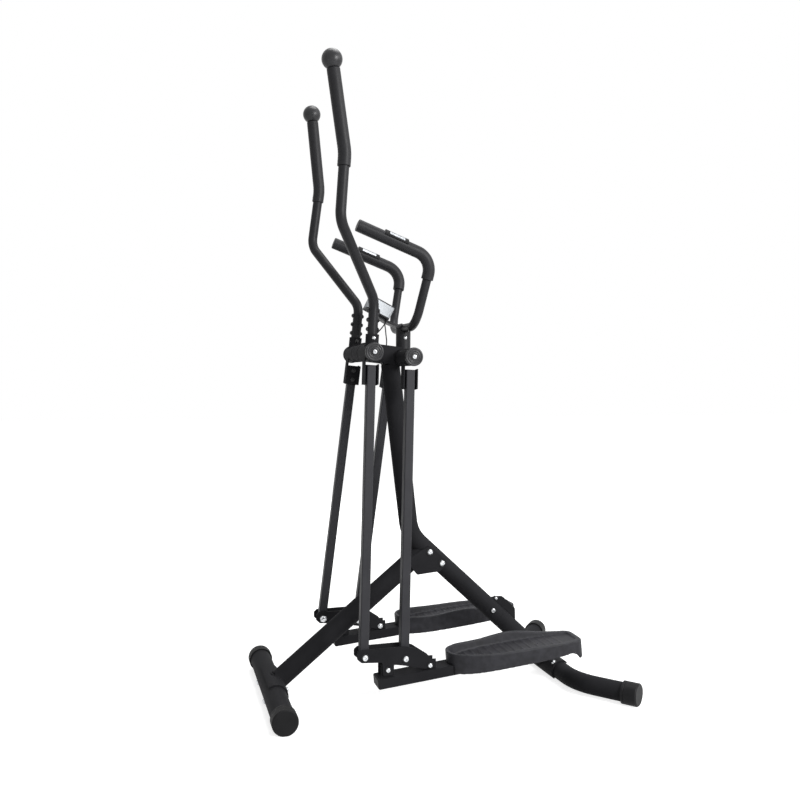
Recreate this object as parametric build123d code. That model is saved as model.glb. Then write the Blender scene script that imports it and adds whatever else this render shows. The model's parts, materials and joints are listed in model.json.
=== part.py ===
from build123d import *
import os
from math import atan, cos, degrees, radians, sin, sqrt, tan

# Elliptical glider: two hanging parallelogram legs on an A-shaped tube frame. Millimetres.
# +X points to the rear, where the rider stands, +Y to the rider's right and +Z up.
# The origin is on the floor under the middle of the base.

# Fits
GAP = 0.3            # between parts that are bolted or slipped together
RUN_GAP = 0.05       # radial running clearance of a bush on its axle
END_GAP = 0.5        # end float of a turning sleeve or arm
HOLE_GAP = 0.4       # radial room round a bolt

# Base
FRONT_FOOT_D = 55.0
FRONT_FOOT_SPAN = 490.0      # over the end caps
FRONT_CAP_D = 62.0
FRONT_CAP_L = 34.0
REAR_FOOT_X = 333.0          # middle of the bowed tube
REAR_FOOT_D = 48.0
REAR_FOOT_STRAIGHT = 330.0   # distance between the two corners of the bow
REAR_FOOT_END = 163.0        # run from a corner to the tube's end
REAR_FOOT_SWEEP = 39.0       # degrees that each end is swept to the rear
REAR_FOOT_R = 150.0
REAR_CAP_D = 57.0
REAR_CAP_L = 40.0
CAP_WALL = 3.5
CAP_FLAT = 1.0               # depth of the flat that a cap stands on
CAP_EDGE = 3.0               # bevel round a cap's closed end
CAP_LIP = 6.0                # plain lip at a cap's mouth
CAP_GROOVE = 1.0             # depth of the ring groove behind the lip
GRIP_GROOVES = 48            # grooves along a front cap
GRIP_GROOVE_D = 1.8
GRIP_CLEAR = 30.0            # degrees either side of the cap's flat without grooves
FOOT_WALL = 2.0

# Legs and post
FRONT_LEG_D = 49.0
FRONT_RAKE = 39.2            # degrees above the floor
POST_D = 48.5
TUBE_WALL = 2.0
REAR_RAKE = 42.8             # degrees below the horizontal
KNEE_RUN = 544.0             # rear foot to the knee, along the rear leg
KNEE_R = 95.0
POST_LEAN = 7.0              # degrees, top to the front
POST_LEN = 467.0             # knee to the pivot line
SADDLE_T = 4.0
SADDLE_HALF = 82.0           # half the length of a saddle, along the foot
SADDLE_ARC = 170.0           # degrees of the foot tube that a saddle wraps
FRONT_SADDLE_BOLT = (24.0, 68.0)     # angle round the foot tube and distance from the middle
REAR_SADDLE_BOLT = (129.0, 74.0)

# Gusset plates and rear leg splice
GUSSET_T = 4.0
GUSSET_BOLT_RUN = 45.5       # between the two gusset bolts, along the rear leg
GUSSET_BOLT_OFFSET = 7.0     # upper bolt below the crossing of the leg axes
GUSSET_EDGE = 12.0           # bolt centre to the edge of the plate
GUSSET_R = 6.0               # plate corners
GUSSET_TOE = 3               # place of the toe, under the lower bolt, among the plate's corners
GUSSET_TOE_R = 18.0
GUSSET_RISE = 19.6           # plate above the front leg's axis
GUSSET_REACH = 62.0          # plate length along the front leg
GUSSET_DROP = 6.0            # plate below the front leg
SPLICE_RUN = 205.0           # rear foot to the end of the post tube
SPIGOT_L = 70.0
SPIGOT_WALL = 2.5
SPLICE_BOLT_RUN = 30.0       # cross bolt, from the end of the post tube
FIN_BASE = 102.0
FIN_TOP = 50.0
FIN_H = 22.0
FIN_T = 8.0
FIN_R = 12.0
FIN_BOLT_UP = 30.0           # fin bolt above the tube's axis
FIN_BOLT_RUN = 6.3           # fin bolt uphill of the cross bolt

# Pivot head
HEAD_TILT = 6.2              # degrees, pivot line down to the rear
PIVOT_SPACING = 100.6
PIVOT_AHEAD = 72.0           # front pivot ahead of the post
HEAD_HALF = 31.0             # half the length of an axle tube
HEAD_TUBE_D = 44.0
HEAD_BOX_W = 46.0
HEAD_BOX_UP = 27.0           # box above and below the pivot line
HEAD_BOX_DOWN = 20.0
AXLE_D = 20.0
AXLE_BOLT_L = 20.0           # depth of the threaded hole in an axle's end

# Swinging arms
LEFT_SWING = 2.88            # degrees at rest, foot end to the front
RIGHT_SWING = 5.6
ARM_LEN = 724.3              # upper pivot to lower pivot, seen from the side
ARM_TOP_Y = 92.0             # arm's middle from the frame's middle, at the upper pivot
LINK_Y = 172.0               # the same, at the lower pivot
ARM_W = 22.0
ARM_WALL = 1.5
ARM_CORNER = 2.5
SLEEVE_D = 44.0
SLEEVE_L = 88.0
BUSH_D = 30.0
BUSH_L = 22.0
FLANGE_D = 41.0
FLANGE_T = 2.5
AXLE_CAP_D = 46.0
AXLE_CAP_T = 5.0
BRACKET_TOP = 30.0           # bracket's upper and lower edge below the pivot
BRACKET_LOW = 80.0
BRACKET_T = 3.0
BRACKET_ROOM = 4.5           # room between a flange of the bracket and the arm
FLANGE_UP = 10.0             # top of the bracket's front flange below the pivot, in the sleeve's wall
LOWER_BUSH_D = 26.0
LOWER_BUSH_L = 30.0

# Moving handles, in the arm's own frame: rearwards, outwards and up from the pivot
HANDLE_D = 25.0
HANDLE_WALL = 1.8
HANDLE_Y = 95.0
HANDLE_LOW_BEND_Z = 128.0
HANDLE_UP_BEND = (-121.0, 222.0, 291.0)
HANDLE_GRIP_BEND = (-117.0, 215.0, 445.0)
HANDLE_BALL = (-158.0, 217.0, 650.0)
HANDLE_RADII = (45.0, 50.0, 120.0)
HANDLE_GRIP_D = 31.0
HANDLE_GRIP_BELOW = 32.0     # foam below its bend
BALL_D = 48.0
BALL_SEAT = 6.0              # tube's end below the ball's centre
SOCKET_D = 33.0
SOCKET_TOP = 44.0
SPIGOT_TOP = 108.0
SOCKET_BOLT_Z = 34.0
HANDLE_BOLT_Z = (56.0, 79.0, 102.0)

# Lower link and foot plate, in the frame of the lower front pivot
PLATE_T = 4.0
PLATE_GAP = 31.0             # between the two link plates
PIVOT_BOLT_D = 10.0
TAB_BOLTS = ((56.0, -34.0), (161.0, -31.5))
FRONT_LOBE = ((-9.0, -12.0), (-19.0, -3.0), (-19.0, 11.0), (-11.0, 18.0))   # plate corners round each bolt
REAR_CREST = ((0.0, 30.0), (26.0, 22.0))
REAR_NOTCH = ((-4.0, -16.0),)
EAR_LOBE = ((13.0, 12.0), (12.0, -13.0), (-12.0, -13.0), (-14.0, 19.0))
TAB_LOBE = ((3.0, 17.0), (15.0, 3.0), (13.0, -5.5), (-10.0, -8.0))
LINK_R = 5.0
TAB_W = 32.0
TAB_T = 4.0
TAB_TOP = 13.0               # tab above its bolt
PEDAL_PITCH = 5.6            # degrees, foot plate up to the rear
PEDAL_ARM_W = 50.0
PEDAL_ARM_H = 24.0
PEDAL_ARM_WALL = 2.0
PEDAL_ARM_START = (34.0, -53.6)   # top edge of the front end
PEDAL_ARM_L = 451.0
ARM_CAP_T = 4.0
TRAY_START = 178.0           # toe of the foot plate along the pedal arm
TRAY_L = 350.0
TRAY_W = 124.0
TRAY_TOE_W = 86.5            # where the round toe meets the sides
TRAY_TOE_L = 25.3
TRAY_BALL = 131.5            # widest point, from the toe
TRAY_HEEL_W = 78.0
TOE_FLARE = 0.55             # slope of a side where it leaves the toe
HEEL_TAPER = 0.32            # slope of a side where it meets the heel
HEEL_R = 22.0
TRAY_FLOOR = 5.0
TRAY_WALL = 5.0
TRAY_SLOPE = 8.0             # floor's edge inside the rim's inner edge
SKIRT_DROP = 20.0
HEEL_LIP = 37.0              # depth of the lip behind the heel
HEEL_LIP_L = 14.0
HEEL_ARCH_L = 36.0           # arch in the skirt ahead of the lip
TREAD_PITCH = 20.0           # cross ribs on the floor
TREAD_W = 4.0
TREAD_H = 1.5
TREAD_COUNT = 13
RIM_RUNS = (0.0, 103.8, 190.3, 259.5, 350.0)  # stations from the toe
RIM_OUTER = (29.0, 19.0, 11.0, 11.0, 6.0)     # rim heights above the pedal arm
RIM_INNER = (29.0, 26.0, 35.0, 20.0, 12.0)
TRAY_BOLTS = (90.0, 240.0)
TRAY_BOLT_IN = 3.5           # thread in the foot plate's floor

# Fixed handlebar: corners of its right half, from the middle of the pivot line
BAR_D = 22.0
BAR_WALL = 2.0
BAR_END = (-112.4, 141.0, 305.9)
BAR_BEND = (70.1, 138.0, 237.4)
BAR_LOW = (37.1, 106.0, 73.4)
BAR_BEND_R = 48.0
BAR_LOW_R = 50.0
BAR_GRIP_D = 30.0
BAR_GRIP_DOWN = 53.0         # foam past the corner of the bend
BAR_GRIP_END = 7.0           # foam past the tube's end
STEM_D = 38.0
STEM_WALL = 2.5
STUB_L = 34.0
STEM_BOLT_UP = 25.0
SENSOR_AT = 92.0             # pulse sensor from the tube's end
SENSOR_L = 62.0
SENSOR_T = 2.5
SENSOR_ARC = 150.0
SENSOR_RIB = 1.2             # rib between the two plates of a sensor
SENSOR_RIB_ARC = 20.0
ELECTRODE_L = 40.0
ELECTRODE_T = 0.8
ELECTRODE_ARC = 48.0
ELECTRODE_TURN = 37.0        # degrees from a sensor's rib to the middle of a plate

# Console, its middle from the middle of the pivot line
CONSOLE_AT = (-29.3, 123.2)
CONSOLE_TILT = 27.0
CONSOLE_L = 66.0
CONSOLE_W = 56.0
CONSOLE_BACK_H = 4.0
CONSOLE_BODY_H = 29.0
CONSOLE_BEZEL_H = 3.0
CONSOLE_R = 8.0
DISPLAY_L = 30.0
DISPLAY_W = 40.0
DISPLAY_T = 2.0
BUTTON_D = 12.0
BUTTON_UP = 2.0
BUTTON_TRAVEL = 1.2
STRAP_W = 36.0
STRAP_T = 5.0

# Sensor leads: routes between the console's back and the pivot head, from the middle of the pivot line
LEAD_D = 3.0
LEAD_TAIL = 10.0             # straight run at each end
LEAD_ARC = 0.45              # share of the shorter neighbouring run that a corner's arc takes
PULSE_LEAD = ((-16.9, -23.0, 70.4), (-14.4, -19.0, 54.4))
PULSE_LEAD_EXIT = (26.0, -20.5)      # along and across the console's back
PULSE_LEAD_ENTRY = (-14.0, -11.0)    # along and across the head's top
STRIDE_LEAD = ((-26.9, -27.0, 72.4), (-37.9, -27.0, 60.4), (-45.9, -23.0, 51.4))
STRIDE_LEAD_EXIT = (28.0, -24.5)
STRIDE_LEAD_ENTRY = (-46.0, -16.0)

# Fasteners
M6 = 6.0
M8 = 8.0
M10 = 10.0
HEAD_RATIO = 1.9             # head diameter over shank diameter
HEAD_H_RATIO = 0.62          # head height over shank diameter
CAP_NUT_RATIO = 0.85         # the same for a cap nut


def polar(length, angle):
    """Side-view step (x, z) of a length at an angle above the rearward horizontal."""
    return length * cos(radians(angle)), length * sin(radians(angle))


def side_point(start, length, angle):
    """Point (x, z) that lies a length away from another, at an angle."""
    dx, dz = polar(length, angle)
    return start[0] + dx, start[1] + dz


def at(point, y=0.0):
    """A side-view point as a vector at the distance y from the middle."""
    return Vector(point[0], y, point[1])


# Side-view layout that the pieces share. The base reaches as far to the front as to the rear.
REAR_REACH = (REAR_FOOT_X + (REAR_FOOT_END + GAP) * sin(radians(REAR_FOOT_SWEEP))
              + REAR_CAP_D / 2 * cos(radians(REAR_FOOT_SWEEP)))
FRONT_FOOT = (FRONT_CAP_D / 2 - REAR_REACH, FRONT_CAP_D / 2 - CAP_FLAT)
REAR_FOOT = (REAR_FOOT_X, REAR_CAP_D / 2 - CAP_FLAT)
KNEE = side_point(REAR_FOOT, KNEE_RUN, 180 - REAR_RAKE)
HEAD = side_point(KNEE, POST_LEN, 90 + POST_LEAN)
FRONT_PIVOT = side_point(HEAD, PIVOT_AHEAD, 180 - HEAD_TILT)
REAR_PIVOT = side_point(FRONT_PIVOT, PIVOT_SPACING, -HEAD_TILT)
SPLAY = degrees(atan((LINK_Y - ARM_TOP_Y) / ARM_LEN))
FLANGE_IN = HEAD_HALF + END_GAP
SLEEVE_IN = FLANGE_IN + FLANGE_T
SLEEVE_OUT = SLEEVE_IN + SLEEVE_L
AXLE_HALF = SLEEVE_OUT + FLANGE_T + END_GAP
GUSSET_IN = POST_D / 2 + GAP
BAR_BASE = (HEAD[0] + BAR_LOW[0], HEAD[1] + BAR_LOW[2])
SIDES = {"left": (-1, LEFT_SWING), "right": (1, RIGHT_SWING)}


def on_head(step):
    """Point at a step (x, y, z) from the middle of the pivot line."""
    return Vector(HEAD[0] + step[0], step[1], HEAD[1] + step[2])


def leg_crossing():
    """Side-view point where the front leg's axis meets the rear leg's axis."""
    rise = tan(radians(FRONT_RAKE))
    fall = tan(radians(REAR_RAKE))
    x = (REAR_FOOT[1] - FRONT_FOOT[1] + rise * FRONT_FOOT[0] + fall * REAR_FOOT[0]) / (rise + fall)
    return x, FRONT_FOOT[1] + rise * (x - FRONT_FOOT[0])


CROSSING = leg_crossing()
UPPER_GUSSET_BOLT = side_point(CROSSING, GUSSET_BOLT_OFFSET, -REAR_RAKE)
LOWER_GUSSET_BOLT = side_point(UPPER_GUSSET_BOLT, GUSSET_BOLT_RUN, -REAR_RAKE)
SPLICE_END = side_point(REAR_FOOT, SPLICE_RUN, 180 - REAR_RAKE)
SPLICE_BOLT = side_point(SPLICE_END, SPLICE_BOLT_RUN, 180 - REAR_RAKE)


def ring(outer, wall):
    """Section of a round tube."""
    return Circle(outer / 2) - Circle(outer / 2 - wall)


def bent(points, radii, section):
    """A section carried along straight runs that are joined by arcs."""
    path = FilletPolyline(*points, radius=list(radii))
    return sweep(Plane(path @ 0, z_dir=path % 0) * section, path)


def straight(start, end, section):
    """A section carried from one point to another."""
    run = end - start
    return extrude(Plane(start, z_dir=run) * section, run.length)


def rod(start, end, diameter):
    """A round bar between two points."""
    return straight(start, end, Circle(diameter / 2))


def slab(outline, y, thickness):
    """A plate with a side-view outline, from y outwards in +Y."""
    face = make_face(Polyline(*[at(p, y) for p in outline], close=True))
    return extrude(face, thickness, dir=(0, 1, 0))


def bolt(head, tip, size):
    """A bolt with a low round head, without a nut."""
    axis = (tip - head).normalized()
    return rod(head, tip, size) + rod(head - axis * size * HEAD_H_RATIO, head, size * HEAD_RATIO)


def nut_bolt(head, tip, size, nut_ratio=HEAD_H_RATIO):
    """A bolt with a round nut on its tip."""
    axis = (tip - head).normalized()
    return bolt(head, tip, size) + rod(tip, tip + axis * size * nut_ratio, size * HEAD_RATIO)


def cross_bolt(point, half, size):
    """A bolt along Y through the frame's middle plane, clamping at half either side."""
    return nut_bolt(at(point, -half), at(point, half), size)


def cross_hole(point, size, half):
    """The hole that a cross bolt passes through."""
    return rod(at(point, -half), at(point, half), size + 2 * HOLE_GAP)


def saddle(foot, foot_d, toward):
    """Half sleeve that hugs a foot tube on the side of its leg, with its bolt holes."""
    inner = foot_d / 2 + GAP
    outer = inner + SADDLE_T
    plane = Plane(at(foot, -SADDLE_HALF), x_dir=at(polar(1, toward)), z_dir=(0, 1, 0))
    reach = outer * 2
    wedge_half = radians(SADDLE_ARC / 2)
    wedge = make_face(Polyline((0, 0), (reach * cos(wedge_half), reach * sin(wedge_half)),
                               (reach * 2, reach), (reach * 2, -reach),
                               (reach * cos(wedge_half), -reach * sin(wedge_half)), close=True))
    section = (Circle(outer) - Circle(inner)) & wedge
    return extrude(plane * section, 2 * SADDLE_HALF)


def saddle_bolts(foot, foot_d, place):
    """The two bolts that clamp a saddle to its foot tube, heads on the saddle."""
    angle, out = place
    top = side_point(foot, foot_d / 2 + GAP + SADDLE_T, angle)
    low = side_point(foot, -foot_d / 2, angle)
    return [nut_bolt(at(top, y), at(low, y), M8) for y in (-out, out)]


def saddle_holes(foot, foot_d, place):
    """Holes for the saddle bolts, through saddle and foot tube."""
    angle, out = place
    far = side_point(foot, foot_d, angle)
    near = side_point(foot, -foot_d, angle)
    return [rod(at(far, y), at(near, y), M8 + 2 * HOLE_GAP) for y in (-out, out)]


def cap(foot_d, cap_d, length):
    """Moulded end cap, mouth at the origin and closed end along +Z, with a lip at its mouth."""
    outer = cap_d / 2
    inner = foot_d / 2 + GAP
    groove = CAP_LIP + CAP_GROOVE
    outline = [(0, length), (outer - CAP_EDGE, length), (outer, length - CAP_EDGE)]
    outline += [(outer, groove + CAP_GROOVE), (outer - CAP_GROOVE, groove), (outer, CAP_LIP)]
    outline += [(outer, 0), (inner, 0), (inner, length - CAP_WALL), (0, length - CAP_WALL)]
    profile = make_face(Polyline(*[(x, 0, z) for x, z in outline], close=True))
    return revolve(profile, Axis.Z)


def grip_grooves():
    """Fine grooves along a front cap, all round but for its flat, which lies towards +X."""
    spots = PolarLocations(FRONT_CAP_D / 2, GRIP_GROOVES, GRIP_CLEAR, 360 - 2 * GRIP_CLEAR)
    groove = extrude(Circle(GRIP_GROOVE_D / 2), FRONT_CAP_L)
    return [spot * groove for spot in spots]


def stand_flat(solid):
    """Cut off what lies below the floor."""
    size = 4 * REAR_REACH
    return solid & Pos(0, 0, size / 2) * Box(size, size, size)


def make_front_foot():
    """Straight cross tube under the front leg, with two capped ends."""
    half = FRONT_FOOT_SPAN / 2 - CAP_WALL - GAP
    tube = straight(at(FRONT_FOOT, -half), at(FRONT_FOOT, half), ring(FRONT_FOOT_D, FOOT_WALL))
    return tube - saddle_holes(FRONT_FOOT, FRONT_FOOT_D, FRONT_SADDLE_BOLT)


def make_front_caps():
    """The two end caps of the front foot."""
    solids = []
    for side in (-1, 1):
        start = at(FRONT_FOOT, side * (FRONT_FOOT_SPAN / 2 - FRONT_CAP_L))
        mouth = Plane(start, x_dir=(0, 0, -1), z_dir=(0, side, 0))
        grooved = cap(FRONT_FOOT_D, FRONT_CAP_D, FRONT_CAP_L) - grip_grooves()
        solids.append(stand_flat(mouth * grooved))
    return solids


def rear_foot_points():
    """Corner points of the bowed rear foot, left end first."""
    x, z = REAR_FOOT
    corner = REAR_FOOT_STRAIGHT / 2
    back = REAR_FOOT_END * sin(radians(REAR_FOOT_SWEEP))
    out = REAR_FOOT_END * cos(radians(REAR_FOOT_SWEEP))
    right = [Vector(x, corner, z), Vector(x + back, corner + out, z)]
    left = [Vector(p.X, -p.Y, p.Z) for p in reversed(right)]
    return left + right


def make_rear_foot():
    """Bowed cross tube under the rear leg, its ends swept to the rear."""
    tube = bent(rear_foot_points(), (REAR_FOOT_R, REAR_FOOT_R), ring(REAR_FOOT_D, FOOT_WALL))
    return tube - saddle_holes(REAR_FOOT, REAR_FOOT_D, REAR_SADDLE_BOLT)


def make_rear_caps():
    """The two end caps of the rear foot, in line with its swept ends."""
    points = rear_foot_points()
    solids = []
    for end, corner in ((points[0], points[1]), (points[3], points[2])):
        axis = (end - corner).normalized()
        mouth = end + axis * (CAP_WALL + GAP - REAR_CAP_L)
        solids.append(stand_flat(Plane(mouth, z_dir=axis) * cap(REAR_FOOT_D, REAR_CAP_D, REAR_CAP_L)))
    return solids


def gusset_outline():
    """Side-view outline of a gusset plate, round the leg's end and the two bolts."""
    along = FRONT_RAKE
    across = 90 + FRONT_RAKE
    low = side_point(CROSSING, -GUSSET_REACH, along)
    half = FRONT_LEG_D / 2
    edge = 90 - REAR_RAKE
    top = side_point(side_point(UPPER_GUSSET_BOLT, GUSSET_EDGE, edge), -GUSSET_EDGE, -REAR_RAKE)
    tip = side_point(side_point(LOWER_GUSSET_BOLT, GUSSET_EDGE, edge), GUSSET_EDGE, -REAR_RAKE)
    toe = side_point(side_point(LOWER_GUSSET_BOLT, -GUSSET_EDGE - GUSSET_DROP, edge), GUSSET_EDGE, -REAR_RAKE)
    return [side_point(low, GUSSET_RISE, across), top, tip, toe, side_point(low, -half - GUSSET_DROP, across)]


def make_front_leg():
    """Front leg tube with its saddle on the foot and two gusset plates at its upper end."""
    low = side_point(FRONT_FOOT, FRONT_FOOT_D / 2, FRONT_RAKE)
    leg = straight(at(low), at(CROSSING), ring(FRONT_LEG_D, TUBE_WALL))
    post_room = POST_D + 2 * GAP
    leg -= rod(at(side_point(CROSSING, -post_room * 2, -REAR_RAKE)), at(LOWER_GUSSET_BOLT), post_room)
    leg -= rod(at(FRONT_FOOT, -FRONT_LEG_D), at(FRONT_FOOT, FRONT_LEG_D), FRONT_FOOT_D + 2 * GAP)
    leg += saddle(FRONT_FOOT, FRONT_FOOT_D, FRONT_RAKE)
    leg -= saddle_holes(FRONT_FOOT, FRONT_FOOT_D, FRONT_SADDLE_BOLT)
    outline = gusset_outline()
    for y in (GUSSET_IN, -GUSSET_IN - GUSSET_T):
        plate = slab(outline, y, GUSSET_T)
        for i, point in enumerate(outline):
            corner = plate.edges().filter_by(Axis.Y).sort_by_distance(at(point, y))[0]
            plate = fillet(corner, GUSSET_TOE_R if i == GUSSET_TOE else GUSSET_R)
        leg += plate
    for point in (UPPER_GUSSET_BOLT, LOWER_GUSSET_BOLT):
        leg -= cross_hole(point, M10, FRONT_LEG_D)
    return leg


def head_box():
    """Side-view corners of the box between the two axle tubes."""
    up = 90 - HEAD_TILT
    corners = []
    for pivot, rise in ((FRONT_PIVOT, -HEAD_BOX_DOWN), (REAR_PIVOT, -HEAD_BOX_DOWN),
                        (REAR_PIVOT, HEAD_BOX_UP), (FRONT_PIVOT, HEAD_BOX_UP)):
        corners.append(side_point(pivot, rise, up))
    return corners


def stem_foot():
    """Side-view point where the handlebar stem stands on the pivot head."""
    along = BAR_LOW[0] / cos(radians(HEAD_TILT))
    on_line = side_point(HEAD, along, -HEAD_TILT)
    return on_line[0], on_line[1] + HEAD_BOX_UP / cos(radians(HEAD_TILT))


def stem_bolt_point():
    """Side-view centre of the bolt through the handlebar stem."""
    foot = stem_foot()
    return foot[0], foot[1] + STEM_BOLT_UP


def make_main_post():
    """Bent post tube with the pivot head welded to its top."""
    top = side_point(HEAD, -HEAD_BOX_DOWN, 90 + POST_LEAN)
    tube = bent([at(top), at(KNEE), at(SPLICE_END)], (KNEE_R,), ring(POST_D, TUBE_WALL))
    box = slab(head_box(), -HEAD_BOX_W / 2, HEAD_BOX_W)
    post = tube + box
    for pivot in (FRONT_PIVOT, REAR_PIVOT):
        post += rod(at(pivot, -HEAD_HALF), at(pivot, HEAD_HALF), HEAD_TUBE_D)
        post -= rod(at(pivot, -HEAD_HALF), at(pivot, HEAD_HALF), AXLE_D + 2 * GAP)
    foot = at(stem_foot())
    post += rod(foot - Vector(0, 0, STEM_WALL), foot + Vector(0, 0, STUB_L), STEM_D - 2 * STEM_WALL - 2 * GAP)
    post -= cross_hole(stem_bolt_point(), M6, STEM_D)
    for point in (UPPER_GUSSET_BOLT, LOWER_GUSSET_BOLT):
        post -= cross_hole(point, M10, POST_D)
    return post - cross_hole(SPLICE_BOLT, M8, POST_D)


def make_rear_leg():
    """Rear leg tube with a spigot for the post and a saddle on the rear foot."""
    toward = 180 - REAR_RAKE
    low = side_point(REAR_FOOT, REAR_FOOT_D / 2, toward)
    start = side_point(SPLICE_END, -GAP, toward)
    leg = straight(at(low), at(start), ring(POST_D, TUBE_WALL))
    spigot_d = POST_D - 2 * TUBE_WALL - 2 * GAP
    root = side_point(start, -SPIGOT_L / 2, toward)
    tip = side_point(start, SPIGOT_L, toward)
    leg += straight(at(root), at(tip), ring(spigot_d, SPIGOT_WALL))
    collar = side_point(start, -2 * TUBE_WALL, toward)
    leg += straight(at(collar), at(start), ring(POST_D - TUBE_WALL, TUBE_WALL + SPIGOT_WALL))
    leg -= rod(at(REAR_FOOT, -POST_D), at(REAR_FOOT, POST_D), REAR_FOOT_D + 2 * GAP)
    leg += saddle(REAR_FOOT, REAR_FOOT_D, toward)
    leg -= saddle_holes(REAR_FOOT, REAR_FOOT_D, REAR_SADDLE_BOLT)
    return leg - cross_hole(SPLICE_BOLT, M8, POST_D)


def fin_bolt_point():
    """Side-view centre of the bolt in the splice bracket."""
    uphill = side_point(SPLICE_BOLT, FIN_BOLT_RUN, 180 - REAR_RAKE)
    return side_point(uphill, FIN_BOLT_UP, 90 - REAR_RAKE)


def make_splice_bracket():
    """Trapezoid bracket that stands on the seam between post and rear leg."""
    up = 90 - REAR_RAKE
    base = side_point(SPLICE_END, POST_D / 2 - GUSSET_T, up)
    top = side_point(SPLICE_END, POST_D / 2 + FIN_H, up)
    outline = []
    for point, run in ((base, -FIN_BASE / 2), (base, FIN_BASE / 2), (top, FIN_TOP / 2), (top, -FIN_TOP / 2)):
        outline.append(side_point(point, run, -REAR_RAKE))
    fin = slab(outline, -FIN_T / 2, FIN_T)
    edges = fin.edges().filter_by(Axis.Y)
    fin = fillet([edges.sort_by_distance(at(p))[0] for p in outline[2:]], FIN_R)
    fin -= rod(at(KNEE), at(REAR_FOOT), POST_D + 2 * GAP)
    return fin - cross_hole(fin_bolt_point(), M6, FIN_T)


def make_frame_bolts():
    """Bolts of the gussets, the saddles, the splice and the handlebar stem."""
    solids = []
    for point in (UPPER_GUSSET_BOLT, LOWER_GUSSET_BOLT):
        solids.append(cross_bolt(point, GUSSET_IN + GUSSET_T, M10))
    solids += saddle_bolts(FRONT_FOOT, FRONT_FOOT_D, FRONT_SADDLE_BOLT)
    solids += saddle_bolts(REAR_FOOT, REAR_FOOT_D, REAR_SADDLE_BOLT)
    solids.append(cross_bolt(SPLICE_BOLT, POST_D / 2, M8))
    solids.append(cross_bolt(fin_bolt_point(), FIN_T / 2, M6))
    solids.append(cross_bolt(stem_bolt_point(), STEM_D / 2, M6))
    return solids


def make_axle(pivot):
    """Round steel axle through the head, long enough for a sleeve on each side, bored at both ends."""
    axle = rod(at(pivot, -AXLE_HALF), at(pivot, AXLE_HALF), AXLE_D)
    for side in (-1, 1):
        floor = side * (AXLE_HALF - AXLE_BOLT_L - GAP)
        axle -= rod(at(pivot, side * AXLE_HALF), at(pivot, floor), M8 + 2 * HOLE_GAP)
    return axle


def make_axle_caps():
    """Domed discs that hold the four sleeves on their axles."""
    solids = []
    for pivot in (FRONT_PIVOT, REAR_PIVOT):
        for side in (-1, 1):
            disc = extrude(Circle(AXLE_CAP_D / 2) - Circle(M8 / 2 + HOLE_GAP), AXLE_CAP_T)
            rim = disc.edges().filter_by(GeomType.CIRCLE).sort_by(Axis.Z)[-2:].sort_by(SortBy.RADIUS)[-1]
            disc = chamfer(rim, AXLE_CAP_T / 2)
            solids.append(Plane(at(pivot, side * AXLE_HALF), z_dir=(0, side, 0)) * disc)
    return solids


def make_axle_bolts():
    """Bolts that clamp the axle caps to the ends of the axles."""
    solids = []
    for pivot in (FRONT_PIVOT, REAR_PIVOT):
        for side in (-1, 1):
            head = at(pivot, side * (AXLE_HALF + AXLE_CAP_T))
            solids.append(bolt(head, at(pivot, side * (AXLE_HALF - AXLE_BOLT_L)), M8))
    return solids


def bar_points(end_stretch=0.0):
    """Corner points of one side of the handlebar, from its free end, on the right."""
    end, bend, low = on_head(BAR_END), on_head(BAR_BEND), on_head(BAR_LOW)
    return [end + (end - bend).normalized() * end_stretch, bend, low]


def make_handlebar():
    """U-shaped handlebar on a stem that slips over the stub of the pivot head."""
    right = bar_points()
    left = [Vector(p.X, -p.Y, p.Z) for p in reversed(right)]
    radii = (BAR_BEND_R, BAR_LOW_R, BAR_LOW_R, BAR_BEND_R)
    bar = bent(right + left, radii, ring(BAR_D, BAR_WALL))
    foot = at(stem_foot())
    lift = Vector(0, 0, STEM_D * tan(radians(HEAD_TILT)))
    stem = rod(foot - lift, at(BAR_BASE), STEM_D)
    stem -= rod(at(BAR_BASE, -STEM_D), at(BAR_BASE, STEM_D), BAR_D)
    stem -= rod(foot - lift, foot + Vector(0, 0, STUB_L + GAP), STEM_D - 2 * STEM_WALL)
    stem -= slab(head_box(), -STEM_D, 2 * STEM_D)
    bar += stem
    return bar - cross_hole(stem_bolt_point(), M6, STEM_D)


def make_bar_grip(side):
    """Foam grip over one arm of the handlebar, round its bend, closed at the free end."""
    end, bend, low = bar_points(BAR_GRIP_END)
    past = bend + (low - bend).normalized() * BAR_GRIP_DOWN
    foam = bent([end, bend, past], (BAR_BEND_R,), Circle(BAR_GRIP_D / 2))
    foam = fillet(foam.edges().filter_by(GeomType.CIRCLE).sort_by_distance(end)[0], BAR_GRIP_END * 0.8)
    foam -= bent([bar_points(GAP)[0], bend, low], (BAR_BEND_R,), Circle(BAR_D / 2 + GAP))
    return mirrored(foam, side)


def sensor_shell(side, inner, thickness, length, arc, turn=0.0):
    """Curved plate on a bar grip, its middle turned about the bar from the grip's top."""
    end, bend, _ = bar_points()
    along = (bend - end).normalized()
    middle = end + along * SENSOR_AT
    across = Vector(0, 0, 1) - along * along.Z
    plane = Plane(middle - along * (length / 2), x_dir=across, z_dir=along)
    outer = inner + thickness
    half = radians(arc / 2)
    reach = outer * 2
    wedge = make_face(Polyline((0, 0), (reach * cos(half), reach * sin(half)), (reach, reach * 2),
                               (reach, -reach * 2), (reach * cos(half), -reach * sin(half)), close=True))
    section = (Circle(outer) - Circle(inner)) & (Rot(0, 0, turn) * wedge)
    shell = extrude(plane * section, length)
    return mirrored(shell, side)


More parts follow.
